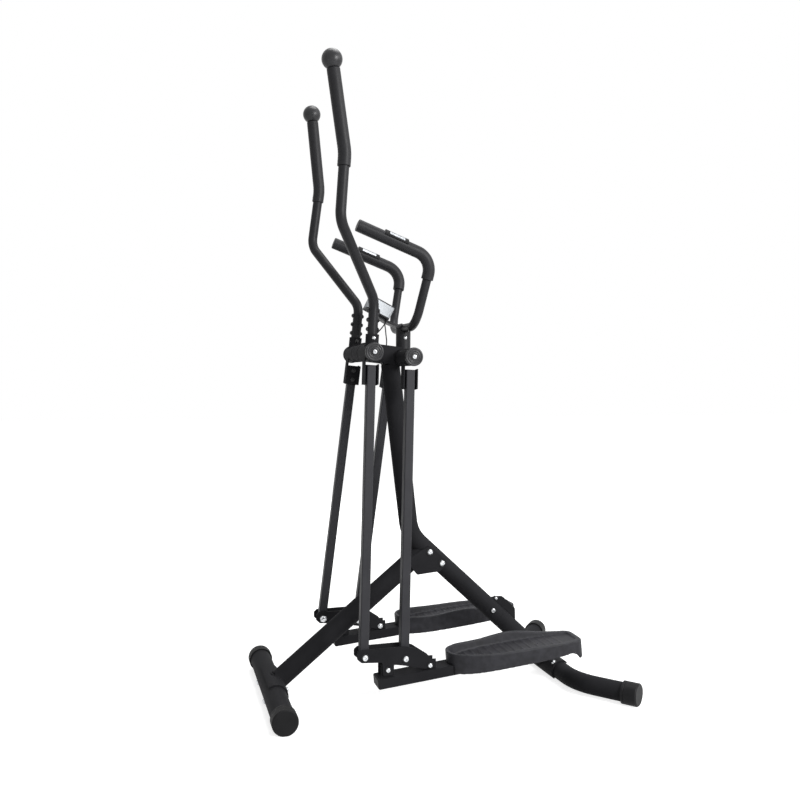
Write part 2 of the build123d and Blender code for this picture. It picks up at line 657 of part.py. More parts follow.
def make_sensors():
    """Plastic saddles of the pulse sensors, one on each bar grip, with a rib along the top."""
    inner = BAR_GRIP_D / 2 + GAP
    solids = []
    for side in (-1, 1):
        shell = sensor_shell(side, inner, SENSOR_T, SENSOR_L, SENSOR_ARC)
        rib = sensor_shell(side, inner, SENSOR_T + SENSOR_RIB, SENSOR_L, SENSOR_RIB_ARC)
        solids.append(shell + rib)
    return solids


def make_electrodes():
    """Bright metal plates on the pulse sensors, one on each side of the rib."""
    inner = BAR_GRIP_D / 2 + GAP + SENSOR_T
    solids = []
    for side in (-1, 1):
        for turn in (-ELECTRODE_TURN, ELECTRODE_TURN):
            solids.append(sensor_shell(side, inner, ELECTRODE_T, ELECTRODE_L, ELECTRODE_ARC, turn))
    return solids


def console_place():
    """Frame of the console: its middle, with +Z out of its face."""
    return Pos(HEAD[0] + CONSOLE_AT[0], 0, HEAD[1] + CONSOLE_AT[1]) * Rot(0, CONSOLE_TILT, 0)


CONSOLE_H = CONSOLE_BACK_H + CONSOLE_BODY_H + CONSOLE_BEZEL_H
BODY_Z = -CONSOLE_H / 2 + CONSOLE_BACK_H
BEZEL_Z = BODY_Z + CONSOLE_BODY_H
FACE_Z = BEZEL_Z + CONSOLE_BEZEL_H
DISPLAY_X = -CONSOLE_L / 8
BUTTON_X = CONSOLE_L / 2 - BUTTON_D


def console_layer(z, height, shrink):
    """Rounded slab of the console, from z upwards."""
    outline = RectangleRounded(CONSOLE_L - 2 * shrink, CONSOLE_W - 2 * shrink, CONSOLE_R - shrink / 2)
    return extrude(Plane((0, 0, z)) * outline, height)


def make_console_back():
    """Dark lower shell of the console, with softened edges below."""
    shell = console_layer(-CONSOLE_H / 2, CONSOLE_BACK_H, 0)
    shell = chamfer(shell.faces().sort_by(Axis.Z)[0].edges(), CONSOLE_BACK_H / 4)
    return console_place() * shell


def make_console_body():
    """Silver middle part of the console."""
    return console_place() * console_layer(BODY_Z, CONSOLE_BODY_H, 0)


def make_console_bezel():
    """Dark face frame of the console, open for the display and the button."""
    frame = console_layer(BEZEL_Z, CONSOLE_BEZEL_H, 0)
    frame = chamfer(frame.faces().sort_by(Axis.Z)[-1].edges(), CONSOLE_BEZEL_H / 3)
    frame -= Pos(DISPLAY_X, 0, FACE_Z) * Box(DISPLAY_L + 2 * GAP, DISPLAY_W + 2 * GAP, 2 * DISPLAY_T)
    well = Plane((BUTTON_X, 0, BEZEL_Z)) * Circle(BUTTON_D / 2 + GAP)
    return console_place() * (frame - extrude(well, CONSOLE_BEZEL_H))


def make_console_display():
    """Window of the console's display."""
    window = Pos(DISPLAY_X, 0, FACE_Z - DISPLAY_T / 2) * Box(DISPLAY_L, DISPLAY_W, DISPLAY_T)
    return console_place() * window


def make_console_button():
    """Round push button in the bezel, standing clear of its floor by its travel."""
    low = BEZEL_Z + BUTTON_TRAVEL + GAP
    button = extrude(Plane((BUTTON_X, 0, low)) * Circle(BUTTON_D / 2), FACE_Z + BUTTON_UP - low)
    button = chamfer(button.edges().sort_by(Axis.Z)[-1], BUTTON_UP / 3)
    return console_place() * button


def make_console_strap():
    """Bracket that carries the console on the front of the handlebar's base."""
    x, z = BAR_BASE
    under = -CONSOLE_H / 2 - GAP
    front = (console_place() * Pos(0, 0, under)).position
    rear = (console_place() * Pos(CONSOLE_L / 2, 0, under)).position
    reach = BAR_D / 2 + GAP + STRAP_T
    outline = [(front.X, front.Z), (rear.X, rear.Z), (x - reach, z + reach / 2),
               (x - reach / 2, z + reach * 3 / 4), (x, z), (x - reach, z),
               (rear.X - STRAP_T, rear.Z - STRAP_T), (front.X, front.Z - STRAP_T)]
    strap = slab(outline, -STRAP_W / 2, STRAP_W)
    return strap - rod(at((x, z), -STRAP_W), at((x, z), STRAP_W), BAR_D + 2 * GAP)


def make_lead(leave, bends, enter):
    """A thin sensor lead along a route of straight runs joined by wide arcs."""
    start, out = lead_exit(*leave)
    end, rise = lead_entry(*enter)
    points = [start, start + out * LEAD_TAIL, *map(on_head, bends), end + rise * LEAD_TAIL, end]
    radii = []
    for a, b, c in zip(points, points[1:], points[2:]):
        turn = radians((b - a).get_angle(c - b))
        radii.append(LEAD_ARC * min((b - a).length, (c - b).length) / tan(turn / 2))
    return bent(points, radii, Circle(LEAD_D / 2))


def lead_exit(run, y):
    """Where a lead leaves the console's back, and the direction that it leaves in."""
    place = console_place() * Pos(run, y, -CONSOLE_H / 2 - GAP)
    back = (place * Pos(0, 0, -1)).position - place.position
    return place.position, back


def lead_entry(run, y):
    """Where a lead enters the pivot head's top, and the direction out of that face."""
    up = 90 - HEAD_TILT
    point = side_point(side_point(HEAD, run, -HEAD_TILT), HEAD_BOX_UP + GAP, up)
    return at(point, y), at(polar(1, up))


def make_pulse_lead():
    """Lead of the pulse plates, from the console straight down to the pivot head."""
    return make_lead(PULSE_LEAD_EXIT, PULSE_LEAD, PULSE_LEAD_ENTRY)


def make_stride_lead():
    """Lead of the stride sensor, slanting to the front of the pivot head."""
    return make_lead(STRIDE_LEAD_EXIT, STRIDE_LEAD, STRIDE_LEAD_ENTRY)


def mirrored(solid, side):
    """A right-hand piece as it is, or turned into its left-hand twin."""
    return solid if side > 0 else mirror(solid, Plane.XZ)


def arm_frame():
    """Frame of an arm tube: its middle at the upper pivot, splayed outwards going down."""
    return Pos(0, ARM_TOP_Y, 0) * Rot(SPLAY, 0, 0)


def make_sleeve():
    """Pivot sleeve with the U-bracket of an arm, whose front flange runs up to the sleeve."""
    hub = rod(Vector(0, SLEEVE_IN, 0), Vector(0, SLEEVE_OUT, 0), SLEEVE_D)
    inner = ARM_W / 2 + BRACKET_ROOM
    outer = inner + BRACKET_T
    back = -ARM_W / 2 - GAP
    height = BRACKET_LOW - BRACKET_TOP
    middle = -(BRACKET_TOP + BRACKET_LOW) / 2
    depth = ARM_W / 2 - back + BRACKET_T
    channel = Pos(0, ARM_W / 2 - depth / 2, middle) * Box(2 * outer, depth, height)
    channel -= Pos(0, back + ARM_W, middle) * Box(2 * inner, 2 * ARM_W, height)
    rise = BRACKET_LOW - FLANGE_UP
    flange = Box(BRACKET_T, depth, rise)
    channel += Pos(-(inner + outer) / 2, ARM_W / 2 - depth / 2, -FLANGE_UP - rise / 2) * flange
    hub += arm_frame() * channel
    hub -= rod(Vector(0, SLEEVE_IN, 0), Vector(0, SLEEVE_OUT, 0), BUSH_D)
    for z in bracket_bolt_heights():
        hub -= arm_frame() * rod(Vector(0, -2 * outer, z), Vector(0, 0, z), M6 + 2 * HOLE_GAP)
    return hub


def bracket_bolt_heights():
    """Heights of the two bolts through bracket and arm, in the arm's frame."""
    quarter = (BRACKET_LOW - BRACKET_TOP) / 4
    return -BRACKET_TOP - quarter, -BRACKET_LOW + quarter


def make_front_hub():
    """Front sleeve with the socket and spigot that the moving handle slips onto."""
    low = (SLEEVE_D + BUSH_D) / 4
    hub = make_sleeve()
    root = Vector(0, HANDLE_Y, low)
    wall = (SOCKET_D - HANDLE_D) / 2 - GAP
    hub += straight(root, Vector(0, HANDLE_Y, SOCKET_TOP), ring(SOCKET_D, wall))
    hub += rod(root, Vector(0, HANDLE_Y, SPIGOT_TOP), HANDLE_D - 2 * HANDLE_WALL - 2 * GAP)
    return hub - handle_bolt_holes()


def handle_bolt_holes():
    """Holes for the socket bolt and the handle bolts."""
    across = Vector(0, SOCKET_D, 0)
    along = Vector(SOCKET_D, 0, 0)
    places = [(Vector(0, HANDLE_Y, SOCKET_BOLT_Z), across)]
    places += [(Vector(0, HANDLE_Y, z), along) for z in HANDLE_BOLT_Z]
    return [rod(middle - reach, middle + reach, M6 + 2 * HOLE_GAP) for middle, reach in places]


def make_bushes():
    """Two flanged bushes, one in each end of a sleeve."""
    solids = []
    for start, inward in ((SLEEVE_IN, 1), (SLEEVE_OUT, -1)):
        mouth = Vector(0, start, 0)
        bush = rod(mouth, mouth + Vector(0, inward * BUSH_L, 0), BUSH_D)
        bush += rod(mouth - Vector(0, inward * FLANGE_T, 0), mouth, FLANGE_D)
        solids.append(bush - rod(Vector(0, 0, 0), Vector(0, AXLE_HALF * 2, 0), AXLE_D + 2 * RUN_GAP))
    return solids


def make_arm(lower_hole):
    """Square-tube arm with a bush tube across its lower end."""
    run = ARM_LEN / cos(radians(SPLAY))
    start = BRACKET_TOP + BRACKET_T
    bore = ARM_W - 2 * ARM_WALL
    section = RectangleRounded(ARM_W, ARM_W, ARM_CORNER) - Rectangle(bore, bore)
    tube = arm_frame() * extrude(Plane((0, 0, -start)) * section, start - run)
    ends = [Vector(0, LINK_Y + s * LOWER_BUSH_L / 2, -ARM_LEN) for s in (-1, 1)]
    arm = tube - rod(ends[0], ends[1], LOWER_BUSH_D - ARM_WALL)
    arm += rod(ends[0], ends[1], LOWER_BUSH_D)
    arm -= rod(ends[0], ends[1], lower_hole)
    for z in bracket_bolt_heights():
        arm -= arm_frame() * rod(Vector(0, -ARM_W, z), Vector(0, 0, z), M6 + 2 * HOLE_GAP)
    return arm


def make_bracket_bolts():
    """The two bolts that hold an arm in its bracket, with their nuts inside the arm."""
    outer = -ARM_W / 2 - GAP - BRACKET_T
    inner = -ARM_W / 2 + ARM_WALL
    heights = bracket_bolt_heights()
    return [arm_frame() * nut_bolt(Vector(0, outer, z), Vector(0, inner, z), M6) for z in heights]


def make_front_arm_bolts():
    """Bracket bolts of the front arm with the bolts of the handle's socket."""
    solids = make_bracket_bolts()
    half = Vector(0, SOCKET_D / 2, 0)
    middle = Vector(0, HANDLE_Y, SOCKET_BOLT_Z)
    solids.append(nut_bolt(middle + half, middle - half, M6))
    for z in HANDLE_BOLT_Z:
        rear = Vector(HANDLE_D / 2, HANDLE_Y, z)
        front = Vector(-HANDLE_D / 2, HANDLE_Y, z)
        solids.append(nut_bolt(rear, front, M6, CAP_NUT_RATIO))
    return solids


def handle_axis():
    """Direction of the handle's upper end."""
    return (Vector(*HANDLE_BALL) - Vector(*HANDLE_GRIP_BEND)).normalized()


def make_handle():
    """Bent handle tube from its socket, outwards and forwards, up to the ball."""
    start = Vector(0, HANDLE_Y, SLEEVE_D / 2 + GAP)
    end = Vector(*HANDLE_BALL) - handle_axis() * BALL_SEAT
    low_bend = Vector(0, HANDLE_Y, HANDLE_LOW_BEND_Z)
    points = [start, low_bend, Vector(*HANDLE_UP_BEND), Vector(*HANDLE_GRIP_BEND), end]
    tube = bent(points, HANDLE_RADII, ring(HANDLE_D, HANDLE_WALL))
    return tube - handle_bolt_holes()


def make_handle_grip():
    """Foam sleeve on the handle, from below its upper bend to the ball."""
    bend = Vector(*HANDLE_GRIP_BEND)
    down = (Vector(*HANDLE_UP_BEND) - bend).normalized()
    low = bend + down * HANDLE_GRIP_BELOW
    seat = sqrt((BALL_D / 2 + GAP) ** 2 - (HANDLE_D / 2) ** 2)
    top = Vector(*HANDLE_BALL) - handle_axis() * seat
    wall = (HANDLE_GRIP_D - HANDLE_D) / 2 - GAP
    return bent([low, bend, top], HANDLE_RADII[2:], ring(HANDLE_GRIP_D, wall))


def make_handle_ball():
    """Ball knob with a blind hole for the handle's end."""
    axis = handle_axis()
    centre = Vector(*HANDLE_BALL)
    hole = rod(centre - axis * BALL_D, centre - axis * (BALL_SEAT - GAP), HANDLE_D + 2 * GAP)
    return Pos(centre) * Sphere(BALL_D / 2) - hole


def link_bolt_points():
    """Side-view points of the two pivot bolts of the lower link."""
    return (0.0, 0.0), side_point((0.0, 0.0), PIVOT_SPACING, -HEAD_TILT)


def link_outline():
    """Side-view outline of a link plate, round the two pivots and the two tab bolts."""
    front, rear = link_bolt_points()
    ear, tab = TAB_BOLTS
    lobes = ((front, FRONT_LOBE), (rear, REAR_CREST), (tab, TAB_LOBE), (rear, REAR_NOTCH), (ear, EAR_LOBE))
    return [(middle[0] + dx, middle[1] + dz) for middle, steps in lobes for dx, dz in steps]


def make_link_plates():
    """The outer and inner plate of the lower link."""
    holes = [(point, PIVOT_BOLT_D) for point in link_bolt_points()] + [(point, M8) for point in TAB_BOLTS]
    solids = []
    for y in (LINK_Y - PLATE_GAP / 2 - PLATE_T, LINK_Y + PLATE_GAP / 2):
        plate = slab(link_outline(), y, PLATE_T)
        plate = fillet(plate.edges().filter_by(Axis.Y), LINK_R)
        for point, size in holes:
            plate -= rod(at(point, y - PLATE_T), at(point, y + 2 * PLATE_T), size + 2 * HOLE_GAP)
        solids.append(plate)
    return solids


def pedal_frame():
    """Frame of the pedal arm: the top of its front end, +X along the arm."""
    return Pos(PEDAL_ARM_START[0], LINK_Y, PEDAL_ARM_START[1]) * Rot(0, -PEDAL_PITCH, 0)


def make_pedal_arm():
    """Flat rectangular tube under the foot plate, with two pairs of tabs for the link plates."""
    walls = 2 * PEDAL_ARM_WALL
    section = Rectangle(PEDAL_ARM_W, PEDAL_ARM_H) - Rectangle(PEDAL_ARM_W - walls, PEDAL_ARM_H - walls)
    plane = Plane((0, 0, -PEDAL_ARM_H / 2), x_dir=(0, 1, 0), z_dir=(1, 0, 0))
    arm = pedal_frame() * extrude(plane * section, PEDAL_ARM_L)
    below = Box(2 * PEDAL_ARM_L, 2 * PEDAL_ARM_W, PEDAL_ARM_L)
    floor = pedal_frame() * Pos(PEDAL_ARM_L / 2, 0, -PEDAL_ARM_L / 2 - PEDAL_ARM_WALL / 2) * below
    for x, z in TAB_BOLTS:
        for y in (LINK_Y - PLATE_GAP / 2 + GAP, LINK_Y + PLATE_GAP / 2 - GAP - TAB_T):
            outline = [(x - TAB_W / 2, z + TAB_TOP), (x + TAB_W / 2, z + TAB_TOP),
                       (x + TAB_W / 2, z - 2 * TAB_W), (x - TAB_W / 2, z - 2 * TAB_W)]
            arm += slab(outline, y, TAB_T) - floor
        arm -= rod(Vector(x, LINK_Y - PLATE_GAP, z), Vector(x, LINK_Y + PLATE_GAP, z), M8 + 2 * HOLE_GAP)
    return arm - [pedal_frame() * hole for hole in tray_bolt_holes(PEDAL_ARM_H)]


def tray_bolt_holes(top):
    """Holes for the bolts of the foot plate, from under the pedal arm up to a height."""
    low = -2 * PEDAL_ARM_H
    runs = [TRAY_START + run for run in TRAY_BOLTS]
    return [rod(Vector(x, 0, low), Vector(x, 0, top), M6 + 2 * HOLE_GAP) for x in runs]


def make_pedal_arm_cap():
    """Moulded plug in the front end of the pedal arm."""
    plug = Pos(-ARM_CAP_T / 2, 0, -PEDAL_ARM_H / 2) * Box(ARM_CAP_T, PEDAL_ARM_W, PEDAL_ARM_H)
    plug = chamfer(plug.faces().sort_by(Axis.X)[0].edges(), ARM_CAP_T / 2)
    inner = 2 * PEDAL_ARM_WALL + 2 * GAP
    tongue = Box(4 * ARM_CAP_T, PEDAL_ARM_W - inner, PEDAL_ARM_H - inner)
    plug += Pos(2 * ARM_CAP_T - GAP, 0, -PEDAL_ARM_H / 2) * tongue
    return pedal_frame() * plug


def tray_outline(inset):
    """Plan outline of the foot plate: round toe, widest at the ball of the foot, narrow heel."""
    shoulder = (TRAY_START + TRAY_TOE_L, TRAY_TOE_W / 2 - inset)
    ball = (TRAY_START + TRAY_BALL, TRAY_W / 2 - inset)
    heel = (TRAY_START + TRAY_L - inset, TRAY_HEEL_W / 2 - inset)
    right = Spline(shoulder, ball, heel, tangents=((1, TOE_FLARE), (1, -HEEL_TAPER)))
    left = mirror(right, Plane.XZ)
    nose = ThreePointArc(left @ 0, (TRAY_START + inset, 0), right @ 0)
    face = make_face(Curve() + [right, left, nose, Line(right @ 1, left @ 1)])
    return fillet(face.vertices().sort_by(Axis.X)[-2:], HEEL_R - inset)


def rim_profile(heights, y):
    """Closed side-view area above the rim, on the plane at y."""
    points = [Vector(TRAY_START + run, y, h) for run, h in zip(RIM_RUNS, heights)]
    over = 3 * max(heights)
    first, last = points[0] - Vector(TRAY_WALL, 0, 0), points[-1] + Vector(TRAY_WALL, 0, 0)
    edge = Spline(first, *points, last)
    lid = Polyline(last, Vector(last.X, y, over), Vector(first.X, y, over), first)
    return make_face(Curve() + [edge, lid])


def below_skirt():
    """What is cut away below the skirt: a level edge, then an arch that ends in the heel lip."""
    end = TRAY_START + TRAY_L
    start = Vector(TRAY_START - TRAY_WALL, -TRAY_W, -SKIRT_DROP)
    arch = Vector(end - HEEL_LIP_L - HEEL_ARCH_L, -TRAY_W, -SKIRT_DROP)
    crown = Vector(end - HEEL_LIP_L - HEEL_ARCH_L / 4, -TRAY_W, -(2 * SKIRT_DROP + HEEL_LIP) / 3)
    lip = Vector(end - HEEL_LIP_L, -TRAY_W, -HEEL_LIP)
    far = Vector(start.X, -TRAY_W, -2 * HEEL_LIP)
    corner = Vector(lip.X, -TRAY_W, -2 * HEEL_LIP)
    edge = [Line(start, arch), ThreePointArc(arch, crown, lip), Polyline(lip, corner, far, start)]
    return extrude(make_face(Curve() + edge), 2 * TRAY_W, dir=(0, 1, 0))


def tread():
    """Cross ribs on the floor of the foot plate, kept off its walls."""
    field = extrude(Plane((0, 0, TRAY_FLOOR)) * tray_outline(TRAY_WALL + TRAY_SLOPE + TREAD_W / 2), TREAD_H)
    first = TRAY_START + (TRAY_L - (TREAD_COUNT - 1) * TREAD_PITCH) / 2
    bar = Box(TREAD_W, TRAY_W, 2 * TREAD_H)
    return [Pos(first + i * TREAD_PITCH, 0, TRAY_FLOOR) * bar & field for i in range(TREAD_COUNT)]


def make_foot_plate():
    """Moulded foot plate: a dished, ribbed tray with a raised toe and instep, a skirt and a heel lip."""
    rim = max(RIM_OUTER + RIM_INNER)
    dish = Plane((0, 0, TRAY_FLOOR)) * tray_outline(TRAY_WALL + TRAY_SLOPE)
    mouth = Plane((0, 0, TRAY_FLOOR + rim)) * tray_outline(TRAY_WALL)
    plate = extrude(Plane((0, 0, -HEEL_LIP)) * tray_outline(0), HEEL_LIP + TRAY_FLOOR + rim)
    plate -= loft([rim_profile(RIM_INNER, -TRAY_W), rim_profile(RIM_OUTER, TRAY_W)])
    plate -= loft([dish, mouth])
    plate -= extrude(Plane((0, 0, -HEEL_LIP)) * tray_outline(TRAY_WALL), HEEL_LIP)
    plate -= below_skirt()
    plate += tread()
    slot = Pos(TRAY_START, 0, -PEDAL_ARM_H / 2) * Box(TRAY_L, PEDAL_ARM_W + 2 * GAP, PEDAL_ARM_H)
    plate -= slot
    return pedal_frame() * (plate - tray_bolt_holes(TRAY_BOLT_IN + GAP))


def make_pedal_bolts():
    """Pivot bolts and tab bolts of the link, and the bolts of the foot plate."""
    solids = []
    half = PLATE_GAP / 2 + PLATE_T
    for point in link_bolt_points():
        solids.append(nut_bolt(at(point, LINK_Y + half), at(point, LINK_Y - half), PIVOT_BOLT_D))
    for point in TAB_BOLTS:
        solids.append(nut_bolt(at(point, LINK_Y + half), at(point, LINK_Y - half), M8))
    for run in TRAY_BOLTS:
        head = Vector(TRAY_START + run, 0, -PEDAL_ARM_H)
        tip = Vector(TRAY_START + run, 0, TRAY_BOLT_IN)
        solids.append(pedal_frame() * bolt(head, tip, M6))
    return solids


def frame_nodes():
    """All pieces that stand still."""
    return {
        "front_foot": make_front_foot(),
        "front_foot_caps": make_front_caps(),
        "front_leg": make_front_leg(),
        "main_post": make_main_post(),
        "rear_leg": make_rear_leg(),
        "splice_bracket": make_splice_bracket(),
        "rear_foot": make_rear_foot(),
        "rear_foot_caps": make_rear_caps(),
        "front_axle": make_axle(FRONT_PIVOT),
        "rear_axle": make_axle(REAR_PIVOT),
        "axle_caps": make_axle_caps(),
        "axle_bolts": make_axle_bolts(),
        "frame_bolts": make_frame_bolts(),
        "handlebar": make_handlebar(),
        "left_bar_grip": make_bar_grip(-1),
        "right_bar_grip": make_bar_grip(1),
        "pulse_sensors": make_sensors(),
        "pulse_plates": make_electrodes(),
        "console_back": make_console_back(),
        "console_body": make_console_body(),
        "console_bezel": make_console_bezel(),
        "console_display": make_console_display(),
        "console_button": make_console_button(),
        "console_strap": make_console_strap(),
        "pulse_lead": make_pulse_lead(),
        "stride_lead": make_stride_lead(),
    }


def leg_nodes():
    """All pieces of the two swinging legs, at their rest angles."""
    running = PIVOT_BOLT_D + 2 * RUN_GAP
    open_pivot = PIVOT_BOLT_D + 4 * GAP
    front = {"front_hub": make_front_hub(), "front_bushes": make_bushes(), "handle": make_handle(),
             "handle_grip": make_handle_grip(), "handle_ball": make_handle_ball(),
             "front_arm": make_arm(running), "front_arm_bolts": make_front_arm_bolts()}
    rear = {"rear_hub": make_sleeve(), "rear_bushes": make_bushes(), "rear_arm": make_arm(open_pivot),
            "rear_arm_bolts": make_bracket_bolts()}
    pedal = {"link_plates": make_link_plates(), "pedal_arm": make_pedal_arm(),
             "pedal_arm_cap": make_pedal_arm_cap(), "foot_plate": make_foot_plate(),
             "pedal_bolts": make_pedal_bolts()}
    nodes = {}
    for name, (side, swing) in SIDES.items():
        lower = side_point(FRONT_PIVOT, ARM_LEN, -90 - swing)
        for group, place in ((front, Pos(at(FRONT_PIVOT)) * Rot(0, swing, 0)),
                             (rear, Pos(at(REAR_PIVOT)) * Rot(0, swing, 0)),
                             (pedal, Pos(at(lower)))):
            for part, solids in group.items():
                pieces = solids if isinstance(solids, list) else [solids]
                nodes[name + "_" + part] = [place * mirrored(piece, side) for piece in pieces]
    return nodes


def write(nodes):
    """One STEP file for each node."""
    os.makedirs("parts", exist_ok=True)
    for name, solids in nodes.items():
        pieces = solids if isinstance(solids, list) else [solids]
        export_step(Compound(children=[s for piece in pieces for s in piece.solids()]), f"parts/{name}.step")


if __name__ == "__main__":
    write({**frame_nodes(), **leg_nodes()})
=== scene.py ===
import json
import logging
import math
from dataclasses import dataclass, field
from enum import Enum
from typing import Any, Iterable, Sequence

import bmesh
import bpy
import numpy as np
from mathutils import Matrix, Vector


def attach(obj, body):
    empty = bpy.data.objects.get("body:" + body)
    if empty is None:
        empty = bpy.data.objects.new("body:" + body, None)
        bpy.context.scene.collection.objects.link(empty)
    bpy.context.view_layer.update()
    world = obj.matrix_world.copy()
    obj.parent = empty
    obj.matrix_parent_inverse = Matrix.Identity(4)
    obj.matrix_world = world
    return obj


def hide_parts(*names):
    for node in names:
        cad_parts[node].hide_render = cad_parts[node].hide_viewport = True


# The looks of a home glider with two hanging parallelogram legs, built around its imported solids.
# +X points to the rear, where the rider stands, +Y to the rider's right and +Z up. Metres.
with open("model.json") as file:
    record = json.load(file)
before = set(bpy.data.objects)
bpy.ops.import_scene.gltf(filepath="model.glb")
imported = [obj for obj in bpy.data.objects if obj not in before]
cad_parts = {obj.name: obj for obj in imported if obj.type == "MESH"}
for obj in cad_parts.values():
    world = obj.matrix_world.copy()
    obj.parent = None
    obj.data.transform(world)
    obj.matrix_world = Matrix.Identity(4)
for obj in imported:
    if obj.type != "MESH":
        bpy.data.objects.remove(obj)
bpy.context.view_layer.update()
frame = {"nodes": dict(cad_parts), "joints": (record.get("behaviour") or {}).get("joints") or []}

log = logging.getLogger("glider")
Place = tuple[float, float, float]
MM = 0.001
# Points closer than this are one point, and edges shorter than a sliver are dropped.
MERGE = 1e-6
SLIVER = 1e-7


class Side(Enum):
    """The two legs, with the sign of their side of the middle plane."""

    LEFT = -1
    RIGHT = 1

    @property
    def word(self) -> str:
        """The side as it stands in the names of its pieces."""
        return self.name.lower()


class Pattern(Enum):
    """How a surface's fine relief is laid out."""

    PEEL = "peel"
    ETCHED = "etched"
    CELLS = "cells"
    BRUSHED = "brushed"


# How far each leg is turned from hanging straight when it is at rest, in degrees.
REST_SWING = {Side.LEFT: 2.88, Side.RIGHT: 5.6}
# Octaves of finer noise in the noisy reliefs, and in the drift of colour and gloss.
OCTAVES = {Pattern.PEEL: 0.5, Pattern.ETCHED: 4.0, Pattern.BRUSHED: 2.0}
DRIFT_OCTAVES = 3.0
# A noise field keeps mostly between these two values.
NOISE_LOW = 0.3
NOISE_HIGH = 0.7
# How many times longer than wide a brushed line is.
BRUSH_STRETCH = 24.0


def linear(hex_colour: str) -> tuple[float, float, float, float]:
    """Turn an sRGB hex colour into linear light, by the standard's straight toe and power of 2.4.

    Args:
        hex_colour: Six hex digits with a leading hash.

    Returns:
        Linear red, green and blue, with an alpha of 1.
    """
    raw = np.array([int(hex_colour[i:i + 2], 16) for i in (1, 3, 5)]) / 255.0
    light = np.where(raw <= 0.04045, raw / 12.92, ((raw + 0.055) / 1.055) ** 2.4)
    return (*light.tolist(), 1.0)


def add_node(tree: bpy.types.NodeTree, kind: str, settings: dict[str, Any] | None = None,
             links: dict[str, bpy.types.NodeSocket] | None = None) -> bpy.types.Node:
    """Add one node, with its settings and what feeds it.

    Args:
        tree: Node tree that takes the node.
        kind: Blender's name of the node's type.
        settings: Attributes, or values of input sockets, by name.
        links: Output sockets that feed the node's inputs, by input name or number.

    Returns:
        The new node.
    """
    node = tree.nodes.new(kind)
    for name, value in (settings or {}).items():
        if hasattr(node, name):
            setattr(node, name, value)
        else:
            node.inputs[name].default_value = value
    for name, source in (links or {}).items():
        tree.links.new(source, node.inputs[name])
    return node


def bare_tree(owner: bpy.types.Material | bpy.types.World) -> bpy.types.NodeTree:
    """Node tree of a new material or world, emptied.

    Args:
        owner: The material or world.

    Returns:
        Its tree.
    """
    owner.use_nodes = True
    owner.node_tree.nodes.clear()
    return owner.node_tree


@dataclass(frozen=True)
class Finish:
    """A surface as it was made: two close colours, a gloss and a fine relief.

    The base colour drifts between `dark` and `light` over patches of `patch_mm`, the roughness drifts by
    `drift`, and a relief of height `relief_mm` repeats about every `grain_mm`.
    """

    name: str
    dark: str
    light: str
    roughness: float
    patch_mm: float
    grain_mm: float
    relief_mm: float
    drift: float = 0.04
    pattern: Pattern = Pattern.PEEL
    metallic: float = 0.0
    specular: float = 0.5
    coat: float = 0.0

    def relief(self, tree: bpy.types.NodeTree, place: bpy.types.NodeSocket) -> bpy.types.NodeSocket:
        """Height field of the relief.

        Args:
            tree: Node tree of the material.
            place: Object coordinates in metres.

        Returns:
            Socket with the height, from 0 to 1.
        """
        per_metre = 1.0 / (self.grain_mm * MM)
        if self.pattern is Pattern.CELLS:
            cells = add_node(tree, "ShaderNodeTexVoronoi", {"Scale": per_metre, "Randomness": 1.0},
                             {"Vector": place})
            return cells.outputs["Distance"]
        if self.pattern is Pattern.BRUSHED:
            place = add_node(tree, "ShaderNodeMapping", {"Scale": (1.0, BRUSH_STRETCH, BRUSH_STRETCH)},
                             {"Vector": place}).outputs["Vector"]
            per_metre /= BRUSH_STRETCH
        noise = add_node(tree, "ShaderNodeTexNoise", {"Scale": per_metre, "Detail": OCTAVES[self.pattern]},
                         {"Vector": place})
        return noise.outputs["Fac"]

    def material(self) -> bpy.types.Material:
        """The finish as a material, made once and then shared.

        Returns:
            The material.
        """
        made = bpy.data.materials.get(self.name)
        if made is not None:
            return made
        made = bpy.data.materials.new(self.name)
        tree = bare_tree(made)
        place = add_node(tree, "ShaderNodeTexCoord").outputs["Object"]
        patches = add_node(tree, "ShaderNodeTexNoise",
                           {"Scale": 1.0 / (self.patch_mm * MM), "Detail": DRIFT_OCTAVES},
                           {"Vector": place}).outputs["Fac"]
        colour = add_node(tree, "ShaderNodeValToRGB", links={"Fac": patches})
        stops = zip(colour.color_ramp.elements, (NOISE_LOW, NOISE_HIGH), (self.dark, self.light))
        for stop, position, hex_colour in stops:
            stop.position = position
            stop.color = linear(hex_colour)
        gloss = add_node(tree, "ShaderNodeMapRange",
                         {"From Min": NOISE_LOW, "From Max": NOISE_HIGH,
                          "To Min": self.roughness - self.drift,
                          "To Max": self.roughness + self.drift}, {"Value": patches})
        bump = add_node(tree, "ShaderNodeBump", {"Strength": 1.0, "Distance": self.relief_mm * MM},
                        {"Height": self.relief(tree, place)})
        surface = add_node(tree, "ShaderNodeBsdfPrincipled",
                           {"Metallic": self.metallic, "Specular IOR Level": self.specular,
                            "Coat Weight": self.coat},
                           {"Base Color": colour.outputs["Color"], "Roughness": gloss.outputs["Result"],
                            "Normal": bump.outputs["Normal"]})
        add_node(tree, "ShaderNodeOutputMaterial", links={"Surface": surface.outputs["BSDF"]})
        return made


# Matt polyester powder coat on the frame, hubs and links: a fine orange peel that spreads every highlight.
MATT_COAT = Finish(
    "powder_coated_steel_matt_black", "#202022", "#262628", roughness=0.7, patch_mm=60.0, grain_mm=1.4,
    relief_mm=0.05, specular=0.05)
# Satin powder coat on the flat-sided arms: a flatter film with a longer sheen.
# Its black is painted lighter than the frame's, as painted light for the light that falls on the arms' flat
# faces.
SATIN_COAT_PAINTED_LIGHTER = Finish(
    "powder_coated_steel_satin_black", "#323235", "#38383b", roughness=0.46, patch_mm=60.0, grain_mm=1.6,
    relief_mm=0.03, specular=0.1)
